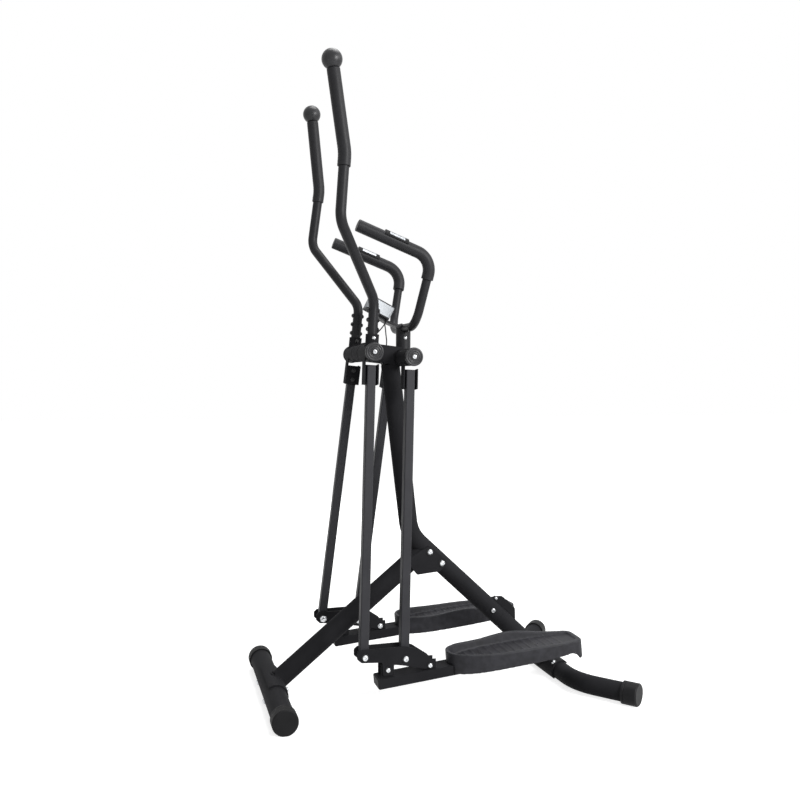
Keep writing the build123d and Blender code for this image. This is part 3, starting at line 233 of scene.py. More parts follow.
# Semi-gloss powder coat on the round handles and handlebar: dark, with a soft streak along the tube.
GLOSS_COAT = Finish(
    "powder_coated_steel_semi_gloss_black", "#202022", "#262628", roughness=0.42, patch_mm=60.0,
    grain_mm=1.8, relief_mm=0.02, specular=0.15)
# Polypropylene moulded in a spark-etched tool: an even, fine matt grain.
CAP_PLASTIC = Finish(
    "moulded_polypropylene_black", "#1b1b1c", "#212122", roughness=0.52, patch_mm=40.0, grain_mm=0.9,
    relief_mm=0.05, pattern=Pattern.ETCHED, specular=0.1)
# Polypropylene moulded in a polished tool, for the ball knobs and axle covers: a soft, round gleam.
KNOB_PLASTIC = Finish(
    "moulded_polypropylene_polished", "#242426", "#2b2b2d", roughness=0.34, drift=0.05,
    patch_mm=30.0, grain_mm=1.0, relief_mm=0.03, pattern=Pattern.ETCHED, specular=0.3)
# Structural ABS moulded in a deeply etched tool: as dark as the paint, and scuffed paler in patches. The
# grain is drawn coarser than the real one, so that it shows.
PLATE_PLASTIC = Finish(
    "moulded_abs_charcoal", "#1f1f22", "#303034", roughness=0.54, drift=0.06, patch_mm=16.0,
    grain_mm=5.0, relief_mm=0.22, pattern=Pattern.ETCHED, specular=0.2)
# Extruded nitrile foam with its skin left on: closed pores and a soft, wide sheen along the sleeve.
GRIP_FOAM = Finish(
    "nitrile_foam_black", "#202022", "#262628", roughness=0.46, drift=0.05, patch_mm=14.0,
    grain_mm=1.3, relief_mm=0.02, pattern=Pattern.CELLS, specular=0.18)
# Nickel-chrome plate on steel screw heads: nearly a mirror.
CHROME = Finish(
    "chrome_plated_steel", "#bfc1c4", "#dcdee0", roughness=0.16, patch_mm=8.0, grain_mm=0.5,
    relief_mm=0.004, metallic=1.0)
# Black oxide on steel screws: a thin dark skin with a dull, oiled gleam.
BLACK_OXIDE = Finish(
    "black_oxide_steel", "#101011", "#19191b", roughness=0.36, drift=0.05, patch_mm=8.0,
    grain_mm=0.5, relief_mm=0.01, specular=0.35)
# Ground bright bar, lightly oiled: grey metal with fine lines.
AXLE_STEEL = Finish(
    "ground_bright_steel", "#8d8f92", "#a5a7aa", roughness=0.28, drift=0.05, patch_mm=12.0,
    grain_mm=0.4, relief_mm=0.01, pattern=Pattern.BRUSHED, metallic=1.0)
# Moulded nylon 66, self-coloured black: faintly waxy.
BUSH_NYLON = Finish(
    "moulded_nylon_black", "#111112", "#171718", roughness=0.42, patch_mm=20.0, grain_mm=0.8,
    relief_mm=0.02, specular=0.3)
# Brushed stainless foil of the pulse plates: a pale, streaked glint.
PULSE_STEEL = Finish(
    "brushed_stainless_steel", "#a4a7ab", "#bbbec2", roughness=0.32, drift=0.05, patch_mm=10.0,
    grain_mm=0.35, relief_mm=0.01, pattern=Pattern.BRUSHED, metallic=1.0)
# ABS sprayed with a metallic silver lacquer: a pale grey under a thin clear gloss.
CONSOLE_SILVER = Finish(
    "silver_lacquered_abs", "#b0b4b8", "#bec2c6", roughness=0.38, patch_mm=25.0, grain_mm=0.6,
    relief_mm=0.01, metallic=0.25, coat=0.2)
# Dark moulded ABS of the console's back, bezel and strap: a fine, dull grain.
CONSOLE_DARK = Finish(
    "moulded_abs_dark_grey", "#1d1d1f", "#252527", roughness=0.5, drift=0.05, patch_mm=20.0,
    grain_mm=0.8, relief_mm=0.04, pattern=Pattern.ETCHED, specular=0.3)
# Silicone rubber start key: a dull, even red.
BUTTON_RUBBER = Finish(
    "silicone_rubber_red", "#98302f", "#a43634", roughness=0.62, patch_mm=6.0, grain_mm=0.5,
    relief_mm=0.02, pattern=Pattern.ETCHED, specular=0.35)
# Reflective liquid-crystal cell behind a clear window: a dull grey-green.
DISPLAY_CELL = Finish(
    "liquid_crystal_window", "#8f9a8c", "#9aa596", roughness=0.16, drift=0.03, patch_mm=18.0,
    grain_mm=0.5, relief_mm=0.002, coat=0.6)
# Soft PVC jacket of a two-core signal lead: black, with a waxy gleam.
LEAD_JACKET = Finish(
    "pvc_jacket_black", "#0f0f10", "#151516", roughness=0.45, drift=0.05, patch_mm=6.0,
    grain_mm=0.6, relief_mm=0.01, specular=0.3)


NodesByFinish = dict[Finish, tuple[str, ...]]


def link(thing: bpy.types.Object) -> bpy.types.Object:
    """Put a new object into the scene, and give it back."""
    bpy.context.scene.collection.objects.link(thing)
    return thing


def make_mesh(name: str, points: np.ndarray, faces: Sequence[Sequence[int]],
              smooth: bool = True) -> bpy.types.Object:
    """Put points and faces into a new mesh object at the origin, doubles merged and faces turned outwards.

    Args:
        name: Name of the piece.
        points: Vertex places, one row each, in metres.
        faces: Corner numbers of each face.
        smooth: Whether the faces shade smoothly.

    Returns:
        The new object, linked to the scene.
    """
    mesh = bpy.data.meshes.new(name)
    mesh.from_pydata(points.tolist(), [], np.asarray(faces).tolist())
    work = bmesh.new()
    work.from_mesh(mesh)
    bmesh.ops.remove_doubles(work, verts=work.verts, dist=MERGE)
    bmesh.ops.dissolve_degenerate(work, edges=work.edges, dist=SLIVER)
    bmesh.ops.recalc_face_normals(work, faces=work.faces)
    work.to_mesh(mesh)
    work.free()
    if smooth:
        mesh.shade_smooth()
    else:
        mesh.shade_flat()
    return link(bpy.data.objects.new(name, mesh))


def grid_faces(rows: int, columns: int, wrap: bool) -> np.ndarray:
    """Four-cornered faces of a grid of points that are stored row by row, each row a closed ring.

    Args:
        rows: Number of rows.
        columns: Number of points in a row.
        wrap: Whether the last row joins the first.

    Returns:
        One line of four point numbers for each face.
    """
    r, c = np.meshgrid(np.arange(rows if wrap else rows - 1), np.arange(columns), indexing="ij")
    r2, c2 = (r + 1) % rows, (c + 1) % columns
    corners = (r * columns + c, r * columns + c2, r2 * columns + c2, r2 * columns + c)
    return np.stack(corners, -1).reshape(-1, 4)


def unit(vector: np.ndarray) -> np.ndarray:
    """A vector of length 1 in the same direction."""
    return vector / np.linalg.norm(vector)


def pivot_place(joint: str) -> np.ndarray:
    """A point on a joint's axis, in metres."""
    return np.array(next(j for j in frame["joints"] if j["name"] == joint)["pos_m"])


def dress(finishes: NodesByFinish, prefix: str = "") -> None:
    """Give CAD nodes their finish in every material slot.

    Args:
        finishes: The nodes of each finish.
        prefix: What their names begin with.
    """
    for finish, names in finishes.items():
        material = finish.material()
        for name in names:
            solid = frame["nodes"][prefix + name]
            if not solid.material_slots:
                solid.data.materials.append(material)
            for slot in solid.material_slots:
                slot.material = material


def settle(piece: bpy.types.Object, body: str, finish: Finish,
           replaced: Iterable[str] = ()) -> None:
    """Finish a new piece, hang it on its body and hide the nodes that it stands for.

    Args:
        piece: The new object.
        body: CAD body that carries it.
        finish: Its surface.
        replaced: CAD nodes that it stands for.
    """
    piece.data.materials.append(finish.material())
    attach(piece, body)
    if replaced:
        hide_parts(*replaced)
    log.info("%s rides on %s", piece.name, body)


@dataclass(frozen=True)
class SoftBox:
    """A square lamp: its cloth is `width` across, and glossy surfaces show it where it `gleams`."""

    name: str
    place: Place
    width: float
    watts: float
    gleams: bool = True


@dataclass
class Studio:
    """White floor, soft lamps and a camera where the photographer stood."""

    camera_at: Place = (-0.7097, -2.1479, 0.8012)
    azimuth: float = -16.0
    elevation: float = 1.354
    roll: float = 0.27
    focal_px: float = 860.1
    image_px: float = 800.0
    sensor_mm: float = 36.0
    white: str = "#ffffff"
    floor_size: float = 30.0
    lighting_paper: str = "#909090"
    seen_paper: str = "#c0c0c0"
    shadow_reach: float = 1.1
    fade_reaches: float = 3.0
    near_glow: float = 0.78
    far_glow: float = 1.0
    world_light: float = 0.15
    backdrop_light: float = 1.0
    aim: Place = (0.0, 0.0, 0.7)
    lamps: tuple[SoftBox, ...] = (
        SoftBox("key_softbox", (1.5, -2.6, 1.8), width=1.2, watts=92.0),
        SoftBox("side_softbox", (2.6, -1.1, 2.4), width=1.6, watts=20.0),
        SoftBox("fill_softbox", (-0.5, -3.4, 1.7), width=1.2, watts=40.0, gleams=False),
        SoftBox("top_softbox", (0.2, 0.2, 3.4), width=1.6, watts=45.0),
        SoftBox("rear_softbox", (0.3, 3.4, 1.7), width=1.2, watts=80.0, gleams=False))

    def build(self) -> None:
        """Make the camera, the floor, the world and the lamps."""
        self.camera()
        self.floor()
        self.world()
        for box in self.lamps:
            self.lamp(box)
        bpy.context.scene.view_settings.view_transform = "Standard"

    def camera(self) -> None:
        """Camera from the fitted place, azimuth, elevation, roll and focal length."""
        a, e, r = (math.radians(v) for v in (self.azimuth, self.elevation, self.roll))
        back = Vector((math.sin(a) * math.cos(e), -math.cos(a) * math.cos(e), math.sin(e)))
        level = Vector((math.cos(a), math.sin(a), 0.0))
        upright = back.cross(level)
        right = math.cos(r) * level + math.sin(r) * upright
        up = math.cos(r) * upright - math.sin(r) * level
        data = bpy.data.cameras.new("photo_camera")
        data.sensor_width = self.sensor_mm
        data.lens = data.sensor_width * self.focal_px / self.image_px
        camera = bpy.data.objects.new("photo_camera", data)
        camera.matrix_world = Matrix((right, up, back)).transposed().to_4x4()
        camera.location = self.camera_at
        bpy.context.scene.camera = link(camera)

    def seen(self, tree: bpy.types.NodeTree) -> bpy.types.NodeSocket:
        """Tell the rays that show the background, which are camera, glossy and transmission rays.

        Args:
            tree: Node tree that takes the nodes.

        Returns:
            Socket that is 1 for such a ray.
        """
        path = add_node(tree, "ShaderNodeLightPath")
        either = add_node(tree, "ShaderNodeMath", {"operation": "MAXIMUM"},
                          {0: path.outputs["Is Camera Ray"], 1: path.outputs["Is Glossy Ray"]})
        return add_node(tree, "ShaderNodeMath", {"operation": "MAXIMUM"},
                        {0: either.outputs[0], 1: path.outputs["Is Transmission Ray"]}).outputs[0]

    def floor(self) -> None:
        """Plain white floor that keeps the object's soft shadow and runs out into the surroundings.

        Seen, it is lit paper with a glow of its own, which grows to white away from the object. To all other
        rays it is plain grey paper.
        """
        half = self.floor_size / 2
        corners = np.array([(-half, -half, 0), (half, -half, 0), (half, half, 0), (-half, half, 0)], float)
        floor = make_mesh("studio_floor", corners, [(0, 1, 2, 3)], smooth=False)
        material = bpy.data.materials.new("studio_paper_white")
        tree = bare_tree(material)
        paper = add_node(tree, "ShaderNodeBsdfDiffuse", {"Color": linear(self.lighting_paper)})
        shade = add_node(tree, "ShaderNodeBsdfDiffuse", {"Color": linear(self.seen_paper)})
        away = add_node(tree, "ShaderNodeVectorMath", {"operation": "LENGTH"},
                        {0: add_node(tree, "ShaderNodeTexCoord").outputs["Object"]}).outputs["Value"]
        paler = add_node(tree, "ShaderNodeMapRange",
                         {"From Min": self.shadow_reach, "From Max": self.fade_reaches * self.shadow_reach,
                          "To Min": self.near_glow, "To Max": self.far_glow}, {"Value": away})
        glow = add_node(tree, "ShaderNodeEmission", {"Color": linear(self.white)},
                        {"Strength": paler.outputs["Result"]})
        lit = add_node(tree, "ShaderNodeAddShader", links={0: shade.outputs[0], 1: glow.outputs[0]})
        mix = add_node(tree, "ShaderNodeMixShader",
                       links={0: self.seen(tree), 1: paper.outputs[0], 2: lit.outputs[0]})
        add_node(tree, "ShaderNodeOutputMaterial", links={"Surface": mix.outputs[0]})
        floor.data.materials.append(material)

    def world(self) -> None:
        """Even, pale surroundings: white where they are seen, softer where they light."""
        world = bpy.data.worlds.new("studio_surroundings")
        bpy.context.scene.world = world
        tree = bare_tree(world)
        light = add_node(tree, "ShaderNodeBackground",
                         {"Color": linear(self.white), "Strength": self.world_light})
        backdrop = add_node(tree, "ShaderNodeBackground",
                            {"Color": linear(self.white), "Strength": self.backdrop_light})
        mix = add_node(tree, "ShaderNodeMixShader",
                       links={0: self.seen(tree), 1: light.outputs[0], 2: backdrop.outputs[0]})
        add_node(tree, "ShaderNodeOutputWorld", links={"Surface": mix.outputs[0]})

    def lamp(self, box: SoftBox) -> None:
        """Hang a soft box so that it looks at the middle of the object.

        Args:
            box: The lamp.
        """
        data = bpy.data.lights.new(box.name, "AREA")
        data.shape = "RECTANGLE"
        data.size = box.width
        data.size_y = box.width
        data.energy = box.watts
        lamp = bpy.data.objects.new(box.name, data)
        lamp.location = box.place
        lamp.visible_glossy = box.gleams
        lamp.rotation_euler = (Vector(self.aim) - Vector(box.place)).to_track_quat("-Z", "Y").to_euler()
        link(lamp)


@dataclass
class SensorLeads:
    """The two thin leads between the console's back and the pivot head, with their routes' points."""

    diameter: float = 3.0 * MM
    pulse: tuple[Place, ...] = (
        (-0.1375, -0.0205, 0.95573), (-0.14204, -0.0205, 0.94682), (-0.13996, -0.023, 0.93104),
        (-0.13746, -0.019, 0.91504), (-0.13295, -0.011, 0.89923), (-0.13403, -0.011, 0.88929))
    stride: tuple[Place, ...] = (
        (-0.13572, -0.0245, 0.95482), (-0.14026, -0.0245, 0.94591), (-0.14996, -0.027, 0.93304),
        (-0.16096, -0.027, 0.92104), (-0.16896, -0.023, 0.91204), (-0.16476, -0.016, 0.90268),
        (-0.16584, -0.016, 0.89274))
    pulse_length: float = 0.070
    stride_length: float = 0.076
    order: int = 3
    steps: int = 12
    roundness: int = 4

    def build(self) -> None:
        """Lay both leads along their routes."""
        self.lead("pulse_lead", self.pulse)
        self.lead("stride_lead", self.stride)

    def lead(self, node: str, route: Sequence[Place]) -> None:
        """One lead as a smooth curve with its route's points as control points.

        Args:
            node: CAD node of the lead.
            route: Route points, console first.
        """
        curve = bpy.data.curves.new(node + "_cord", "CURVE")
        curve.dimensions = "3D"
        curve.bevel_depth = self.diameter / 2
        curve.bevel_resolution = self.roundness
        curve.resolution_u = self.steps
        curve.use_fill_caps = True
        line = curve.splines.new("NURBS")
        line.points.add(len(route) - 1)
        line.points.foreach_set("co", np.c_[np.array(route), np.ones(len(route))].ravel())
        line.order_u = self.order
        line.use_endpoint_u = True
        piece = link(bpy.data.objects.new(node + "_cord", curve))
        settle(piece, "frame", LEAD_JACKET, [node])


def bend_line(corners: np.ndarray, radius: float,
              along: np.ndarray) -> tuple[np.ndarray, np.ndarray, np.ndarray]:
    """A line of two straight runs joined by an arc, at given distances from its start.

    The turned angle grows from 0 to the full turn over the arc. The place is the start, plus the first run,
    plus the arc's chord radius * (sin(angle) ahead + (1 - cos(angle)) inwards), plus the second run.

    Args:
        corners: Start, corner and end, one row each.
        radius: Radius of the arc.
        along: Distances along the line.

    Returns:
        Places, normals that point to the inside of the bend, and the bend's axis.
    """
    ahead, after = unit(corners[1] - corners[0]), unit(corners[2] - corners[1])
    turn = math.acos(float(ahead @ after))
    first = np.linalg.norm(corners[1] - corners[0]) - radius * math.tan(turn / 2)
    axis = unit(np.cross(ahead, after))
    inside = np.cross(axis, ahead)
    angle = np.clip((along - first) / radius, 0.0, turn)[:, None]
    run = np.minimum(along, first)[:, None] * ahead
    arc = radius * (np.sin(angle) * ahead + (1.0 - np.cos(angle)) * inside)
    last = np.maximum(along - first - radius * turn, 0.0)[:, None] * after
    normal = np.cos(angle) * inside - np.sin(angle) * ahead
    return corners[0] + run + arc + last, normal, axis


def bend_length(corners: np.ndarray, radius: float) -> tuple[float, float]:
    """Measure a line as bend_line makes it: its runs, less what the arc cuts off, and the arc.

    Args:
        corners: Start, corner and end, one row each.
        radius: Radius of the arc.

    Returns:
        Length of the line, and the distance from its start to the middle of its arc.
    """
    ahead, after = corners[1] - corners[0], corners[2] - corners[1]
    turn = math.acos(float(unit(ahead) @ unit(after)))
    cut = radius * math.tan(turn / 2)
    first = np.linalg.norm(ahead) - cut
    return first + radius * turn + np.linalg.norm(after) - cut, first + radius * turn / 2


@dataclass
class FoamGrips:
    """Foam sleeves on the fixed handlebar and on the two moving handles.

    The points are those of the right side. The handle's are measured from the front pivot's axis, with the
    leg hanging straight.
    """

    bar_end: Place = (-0.23546, 0.141, 1.16654)
    bar_bend: Place = (-0.05296, 0.138, 1.09804)
    bar_low: Place = (-0.08596, 0.106, 0.93404)
    bar_radius: float = 0.048
    bar_tube: float = 0.022
    bar_foam: float = 0.030
    bar_past_end: float = 0.007
    bar_past_corner: float = 0.053
    handle_up_bend: Place = (-0.121, 0.222, 0.291)
    handle_bend: Place = (-0.117, 0.215, 0.445)
    handle_ball: Place = (-0.158, 0.217, 0.650)
    handle_radius: float = 0.120
    handle_tube: float = 0.025
    handle_foam: float = 0.031
    handle_below: float = 0.032
    ball: float = 0.048
    gap: float = 0.3 * MM
    edge_share: float = 0.45
    edge_steps: int = 7
    bore_steps: int = 40
    around: int = 72
    step: float = 1.6 * MM
    crease: float = 0.22 * MM
    crease_pitch: float = 7.0 * MM
    crease_share: float = 0.35

    def build(self) -> None:
        """Make the four sleeves."""
        for side in Side:
            self.bar_grip(side)
            self.handle_grip(side)

    def sleeve(self, name: str, corners: np.ndarray, radius: float, outer: float, bore: float,
               closed: float) -> bpy.types.Object:
        """A closed foam sleeve: a loop in distance and radius, turned about a bent line.

        The loop runs along the outside, round a soft edge, back through the bore and round the other edge. On
        the inside of the bend the foam has shallow creases, a cosine of the distance under a bell.

        Args:
            name: Name of the piece.
            corners: Start, corner and end of its line.
            radius: Radius of the bend.
            outer: Outer radius of the foam.
            bore: Radius of the bore.
            closed: Thickness of the foam over the start, or 0 where the bore goes through.

        Returns:
            The sleeve's object.
        """
        length, middle = bend_length(corners, radius)
        edge = (outer - bore) * self.edge_share
        quarter = np.linspace(0.0, math.pi / 2, self.edge_steps)
        outside = np.arange(edge, length - edge, self.step)
        inside = np.linspace(length, closed, self.bore_steps)
        start_s = edge * (1 - np.sin(quarter))
        start_r = outer - edge * (1 - np.cos(quarter))
        loop_s = np.r_[start_s[::-1], outside[1:], length - start_s, inside]
        loop_r = np.r_[start_r[::-1], np.full(len(outside) - 1, outer), start_r, np.full(len(inside), bore)]
        if closed:
            loop_s, loop_r = np.r_[0.0, loop_s, closed], np.r_[0.0, loop_r, 0.0]
        place, normal, axis = bend_line(corners, radius, loop_s)
        theta = np.linspace(0.0, 2 * math.pi, self.around, endpoint=False)
        bell = np.exp(-((loop_s - middle) / (self.crease_share * radius)) ** 2) * np.isclose(loop_r, outer)
        fold = np.cos(2 * math.pi * (loop_s - middle) / self.crease_pitch) - 1.0
        dent = self.crease * (bell * fold)[:, None] * np.clip(np.cos(theta), 0.0, 1.0)[None, :] ** 2
        reach = (loop_r[:, None] + dent)[..., None]
        around = np.cos(theta)[:, None] * normal[:, None] + np.sin(theta)[:, None] * axis
        points = place[:, None] + reach * around
        faces = grid_faces(len(loop_s), self.around, not closed)
        return make_mesh(name, points.reshape(-1, 3), faces)

    def bar_grip(self, side: Side) -> None:
        """Foam over one arm of the handlebar, from its free end to past its bend.

        Args:
            side: Which arm.
        """
        end, bend, low = np.array((self.bar_end, self.bar_bend, self.bar_low)) * (1, side.value, 1)
        start = end + unit(end - bend) * self.bar_past_end
        stop = bend + unit(low - bend) * self.bar_past_corner
        piece = self.sleeve(f"{side.word}_bar_foam", np.array([start, bend, stop]), self.bar_radius,
                            self.bar_foam / 2, self.bar_tube / 2 + self.gap, self.bar_past_end - self.gap)
        settle(piece, "frame", GRIP_FOAM, [f"{side.word}_bar_grip"])

    def handle_grip(self, side: Side) -> None:
        """Foam on a moving handle, from below its upper bend to the ball.

        Args:
            side: Which handle.
        """
        pivot = pivot_place(f"{side.word}_front_pivot")
        a = math.radians(REST_SWING[side])
        turn = np.array([(math.cos(a), 0.0, math.sin(a)), (0.0, 1.0, 0.0),
                         (-math.sin(a), 0.0, math.cos(a))])
        up, bend, ball = (np.array(p) for p in (self.handle_up_bend, self.handle_bend, self.handle_ball))
        low = bend + unit(up - bend) * self.handle_below
        seat = math.sqrt((self.ball / 2 + self.gap) ** 2 - (self.handle_tube / 2) ** 2)
        top = ball - unit(ball - bend) * seat
        own = np.array([low, bend, top]) * (1, side.value, 1)
        corners = own @ turn.T + pivot * (1, 0, 1)
        piece = self.sleeve(f"{side.word}_handle_foam", corners, self.handle_radius, self.handle_foam / 2,
                            self.handle_tube / 2 + self.gap, 0.0)
        settle(piece, f"{side.word}_front_swing", GRIP_FOAM, [f"{side.word}_handle_grip"])


@dataclass
class Fasteners:
    """Screws with a domed head and a hexagon socket, and domed cap nuts: chrome in view, black on the arms.

    The sizes are shares of the plain head or nut that a screw stands for.
    """

    nodes: dict[str, str] = field(default_factory=lambda: {
        "frame_bolts": "frame", "axle_bolts": "frame",
        **{f"{s.word}_{part}": f"{s.word}_{body}" for s in Side
           for part, body in (("front_arm_bolts", "front_swing"), ("rear_arm_bolts", "rear_swing"),
                              ("pedal_bolts", "pedal"))}})
    around: int = 48
    sharp_degrees: float = 38.0
    digits: int = 6
    near_middle: float = 0.01
    upwards: float = 0.02
    # A direction that no screw has, from which the hexagons are turned.
    skew: Place = (0.31, 0.22, 0.93)
    rim_from: float = 0.95
    shank_to: float = 0.8
    washer: float = 0.24
    washer_wall: float = 0.6
    washer_top: float = 0.96
    dome: float = 0.74
    dome_from: float = 0.28
    dome_steps: int = 8
    socket: float = 0.34
    socket_lip: float = 1.12
    socket_depth: float = 0.55
    nut_hexagon: float = 0.45
    nut_chamfer: float = 0.08
    nut_shoulder: float = 0.94
    nut_shoulder_hexagon: float = 0.6
    nut_dome: float = 0.8
    nut_dome_steps: int = 7

    def build(self) -> None:
        """Make every screw of every bolt node, one piece for each of the node's two platings."""
        for node, body in self.nodes.items():
            screws = [part for points in self.islands(node) for part in self.screw(node, points)]
            for finish, word in ((CHROME, "plated"), (BLACK_OXIDE, "blackened")):
                parts = [(points, faces) for points, faces, plating in screws if plating is finish]
                if not parts:
                    continue
                starts = np.cumsum([0] + [len(p) for p, _ in parts[:-1]])
                points = np.concatenate([p for p, _ in parts])
                faces = np.concatenate([f + s for (_, f), s in zip(parts, starts)])
                piece = make_mesh(f"{node}_{word}", points, faces)
                piece.data.set_sharp_from_angle(angle=math.radians(self.sharp_degrees))
                settle(piece, body, finish, [node])

    def head_side(self, node: str, centre: np.ndarray,
                  axis: np.ndarray) -> tuple[np.ndarray, Finish, Finish]:
        """Which way a screw's head looks, and how the head and the nut are plated.

        Heads look away from the middle, and upwards on the saddles. The foot plates' screws go in from below.
        On an arm the bracket's screws go in from the middle and the handle's from the rear. All of those are
        black, and the handle socket has a chrome head.

        Args:
            node: CAD node of the screw.
            centre: Middle of the screw.
            axis: Its direction, either way round.

        Returns:
            Direction of the head, and the platings of head and nut.
        """
        outward = 1.0 if centre[1] > self.near_middle else -1.0
        crosswise = np.abs(axis).argmax() == 1
        if node.endswith("pedal_bolts") and not crosswise:
            return np.array((0.0, 0.0, -1.0)), BLACK_OXIDE, BLACK_OXIDE
        if not node.endswith("arm_bolts"):
            return np.array((0.0, outward, self.upwards)), CHROME, CHROME
        if not crosswise:
            return np.array((1.0, 0.0, 0.0)), BLACK_OXIDE, BLACK_OXIDE
        if centre[2] < pivot_place(node.replace("arm_bolts", "pivot"))[2]:
            return np.array((0.0, -outward, 0.0)), BLACK_OXIDE, BLACK_OXIDE
        return np.array((0.0, outward, 0.0)), CHROME, BLACK_OXIDE

    def islands(self, node: str) -> list[np.ndarray]:
        """Split a node's loose triangles into its separate solids.

        Corners at the same place are one point. Each point takes the lowest number among its triangles'
        points until nothing changes, so that all points of a solid end with the same number.

        Args:
            node: CAD node.

        Returns:
            The points of each solid.
        """
        mesh = frame["nodes"][node].data
        places = np.empty(len(mesh.vertices) * 3)
        mesh.vertices.foreach_get("co", places)
        mesh.calc_loop_triangles()
        corners = np.empty(len(mesh.loop_triangles) * 3, np.int32)
        mesh.loop_triangles.foreach_get("vertices", corners)
        rounded = np.round(places.reshape(-1, 3), self.digits)
        points, index = np.unique(rounded, axis=0, return_inverse=True)
        triangles = index.reshape(-1)[corners].reshape(-1, 3)
        label = np.arange(len(points))
        settled = False
        while not settled:
            lowest = label.copy()
            np.minimum.at(lowest, triangles.ravel(), np.repeat(label[triangles].min(1), 3))
            settled = bool((lowest == label).all())
            label = lowest
        return [points[label == k] for k in np.unique(label)]

    def screw(self, node: str, points: np.ndarray) -> list[tuple[np.ndarray, np.ndarray, Finish]]:
        """One screw over a plain solid: a shank, a head on its washer and a nut where the solid has one.

        The axis is the direction whose spread differs from the other two. A head or nut is found where the
        solid is widest near an end.

        Args:
            node: CAD node of the screw.
            points: Points of the plain solid.

        Returns:
            Points, faces and plating of the screw and of its washer.
        """
        centre = (points.min(0) + points.max(0)) / 2
        spread, ways = np.linalg.eigh(np.cov((points - points.mean(0)).T))
        axis = ways[:, 2] if spread[2] - spread[1] > spread[1] - spread[0] else ways[:, 0]
        along = (points - centre) @ axis
        reach = np.linalg.norm(points - centre - along[:, None] * axis, axis=1)
        wide = reach.max()
        rim = along[reach > self.rim_from * wide]
        one_ended = (rim > 0).all() or (rim < 0).all()
        looks, head_finish, nut_finish = self.head_side(node, centre, axis)
        turned_away = (rim < 0).all() if one_ended else axis @ looks < 0
        if turned_away:
            axis, along, rim = -axis, -along, -rim
        shank = reach[reach < self.shank_to * wide].max()
        seat, top = rim[rim > 0].min(), along.max()
        face = seat + self.washer * (top - seat)
        start = np.array([(along.min(), 0.0, 0.0), (along.min(), shank, 0.0)])
        rows = start if one_ended else self.nut_rows(along.min(), rim[rim < 0].max(), wide, shank)
        stem = np.r_[rows, [(face, shank, 0.0), (face, 0.0, 0.0)]]
        head = self.head_rows(face, top, self.dome * wide)
        ring = np.array([(seat, shank, 0.0), (seat, wide, 0.0),
                         (seat + self.washer_wall * (face - seat), wide, 0.0),
                         (face, self.washer_top * wide, 0.0), (face, shank, 0.0)])
        return [(*self.turned(centre, axis, head, False), head_finish),
                (*self.turned(centre, axis, stem, False), nut_finish),
                (*self.turned(centre, axis, ring, True), BLACK_OXIDE)]

    def nut_rows(self, tip: float, seat: float, wide: float, shank: float) -> np.ndarray:
        """Profile of a cap nut: a quarter-round dome on a hexagon.

        Args:
            tip: Height of the dome's tip.
            seat: Height of the nut's seat.
            wide: Radius of the hexagon's corners.
            shank: Radius of the shank.

        Returns:
            Rows of height, radius and hexagon share, from the tip to the seat.
        """
        angle = np.linspace(math.pi / 2, 0.0, self.nut_dome_steps)
        flat = seat - self.nut_hexagon * (seat - tip)
        dome = np.c_[flat - (flat - tip) * np.sin(angle), self.nut_dome * wide * np.cos(angle),
                     np.zeros(len(angle))]
        return np.r_[dome, [(flat, self.nut_shoulder * wide, self.nut_shoulder_hexagon),
                            (flat + self.nut_chamfer * (seat - tip), wide, 1.0),
                            (seat, wide, 1.0), (seat, shank, 0.0)]]

    def head_rows(self, seat: float, top: float, wide: float) -> np.ndarray:
        """Profile of a head: a short wall, a quarter-round dome and a hexagon socket.

        Args:
            seat: Height of the head's seat.
            top: Height of the dome's top.
            wide: Radius of the head.

        Returns:
            Rows of height, radius and hexagon share, from the seat to the socket's floor.
        """
        height = top - seat
        angle = np.linspace(0.0, math.pi / 2, self.dome_steps)
        socket = self.socket * wide
        lip = socket * self.socket_lip
        dome = np.c_[seat + height * (self.dome_from + (1.0 - self.dome_from) * np.sin(angle)),
                     lip + (wide - lip) * np.cos(angle), np.zeros(len(angle))]
        floor = top - self.socket_depth * height
        return np.r_[[(seat, 0.0, 0.0), (seat, wide, 0.0)], dome,
                     [(top, socket, 1.0), (floor, socket, 1.0), (floor, 0.0, 0.0)]]

    def turned(self, centre: np.ndarray, axis: np.ndarray, rows: np.ndarray,
               closed: bool) -> tuple[np.ndarray, np.ndarray]:
        """Turn a profile about an axis, each row between a circle and a hexagon.

        A hexagon's radius at an angle is its corner radius times cos(30) / cos(angle mod 60 - 30).

        Args:
            centre: Point on the axis at height 0.
            axis: Direction of the axis.
            rows: Height, radius and hexagon share of each row.
            closed: Whether the last row joins the first.

        Returns:
            Points and faces.
        """
        theta = np.linspace(0.0, 2 * math.pi, self.around, endpoint=False)
        sixth = math.pi / 3
        hexagon = math.cos(sixth / 2) / np.cos(theta % sixth - sixth / 2)
        radius = rows[:, 1:2] * (1.0 + rows[:, 2:3] * (hexagon[None, :] - 1.0))
        side = unit(np.cross(axis, self.skew))
        round_about = np.cos(theta)[:, None] * side + np.sin(theta)[:, None] * np.cross(axis, side)
        points = centre + rows[:, 0, None, None] * axis + radius[..., None] * round_about
        return points.reshape(-1, 3), grid_faces(len(rows), self.around, closed)


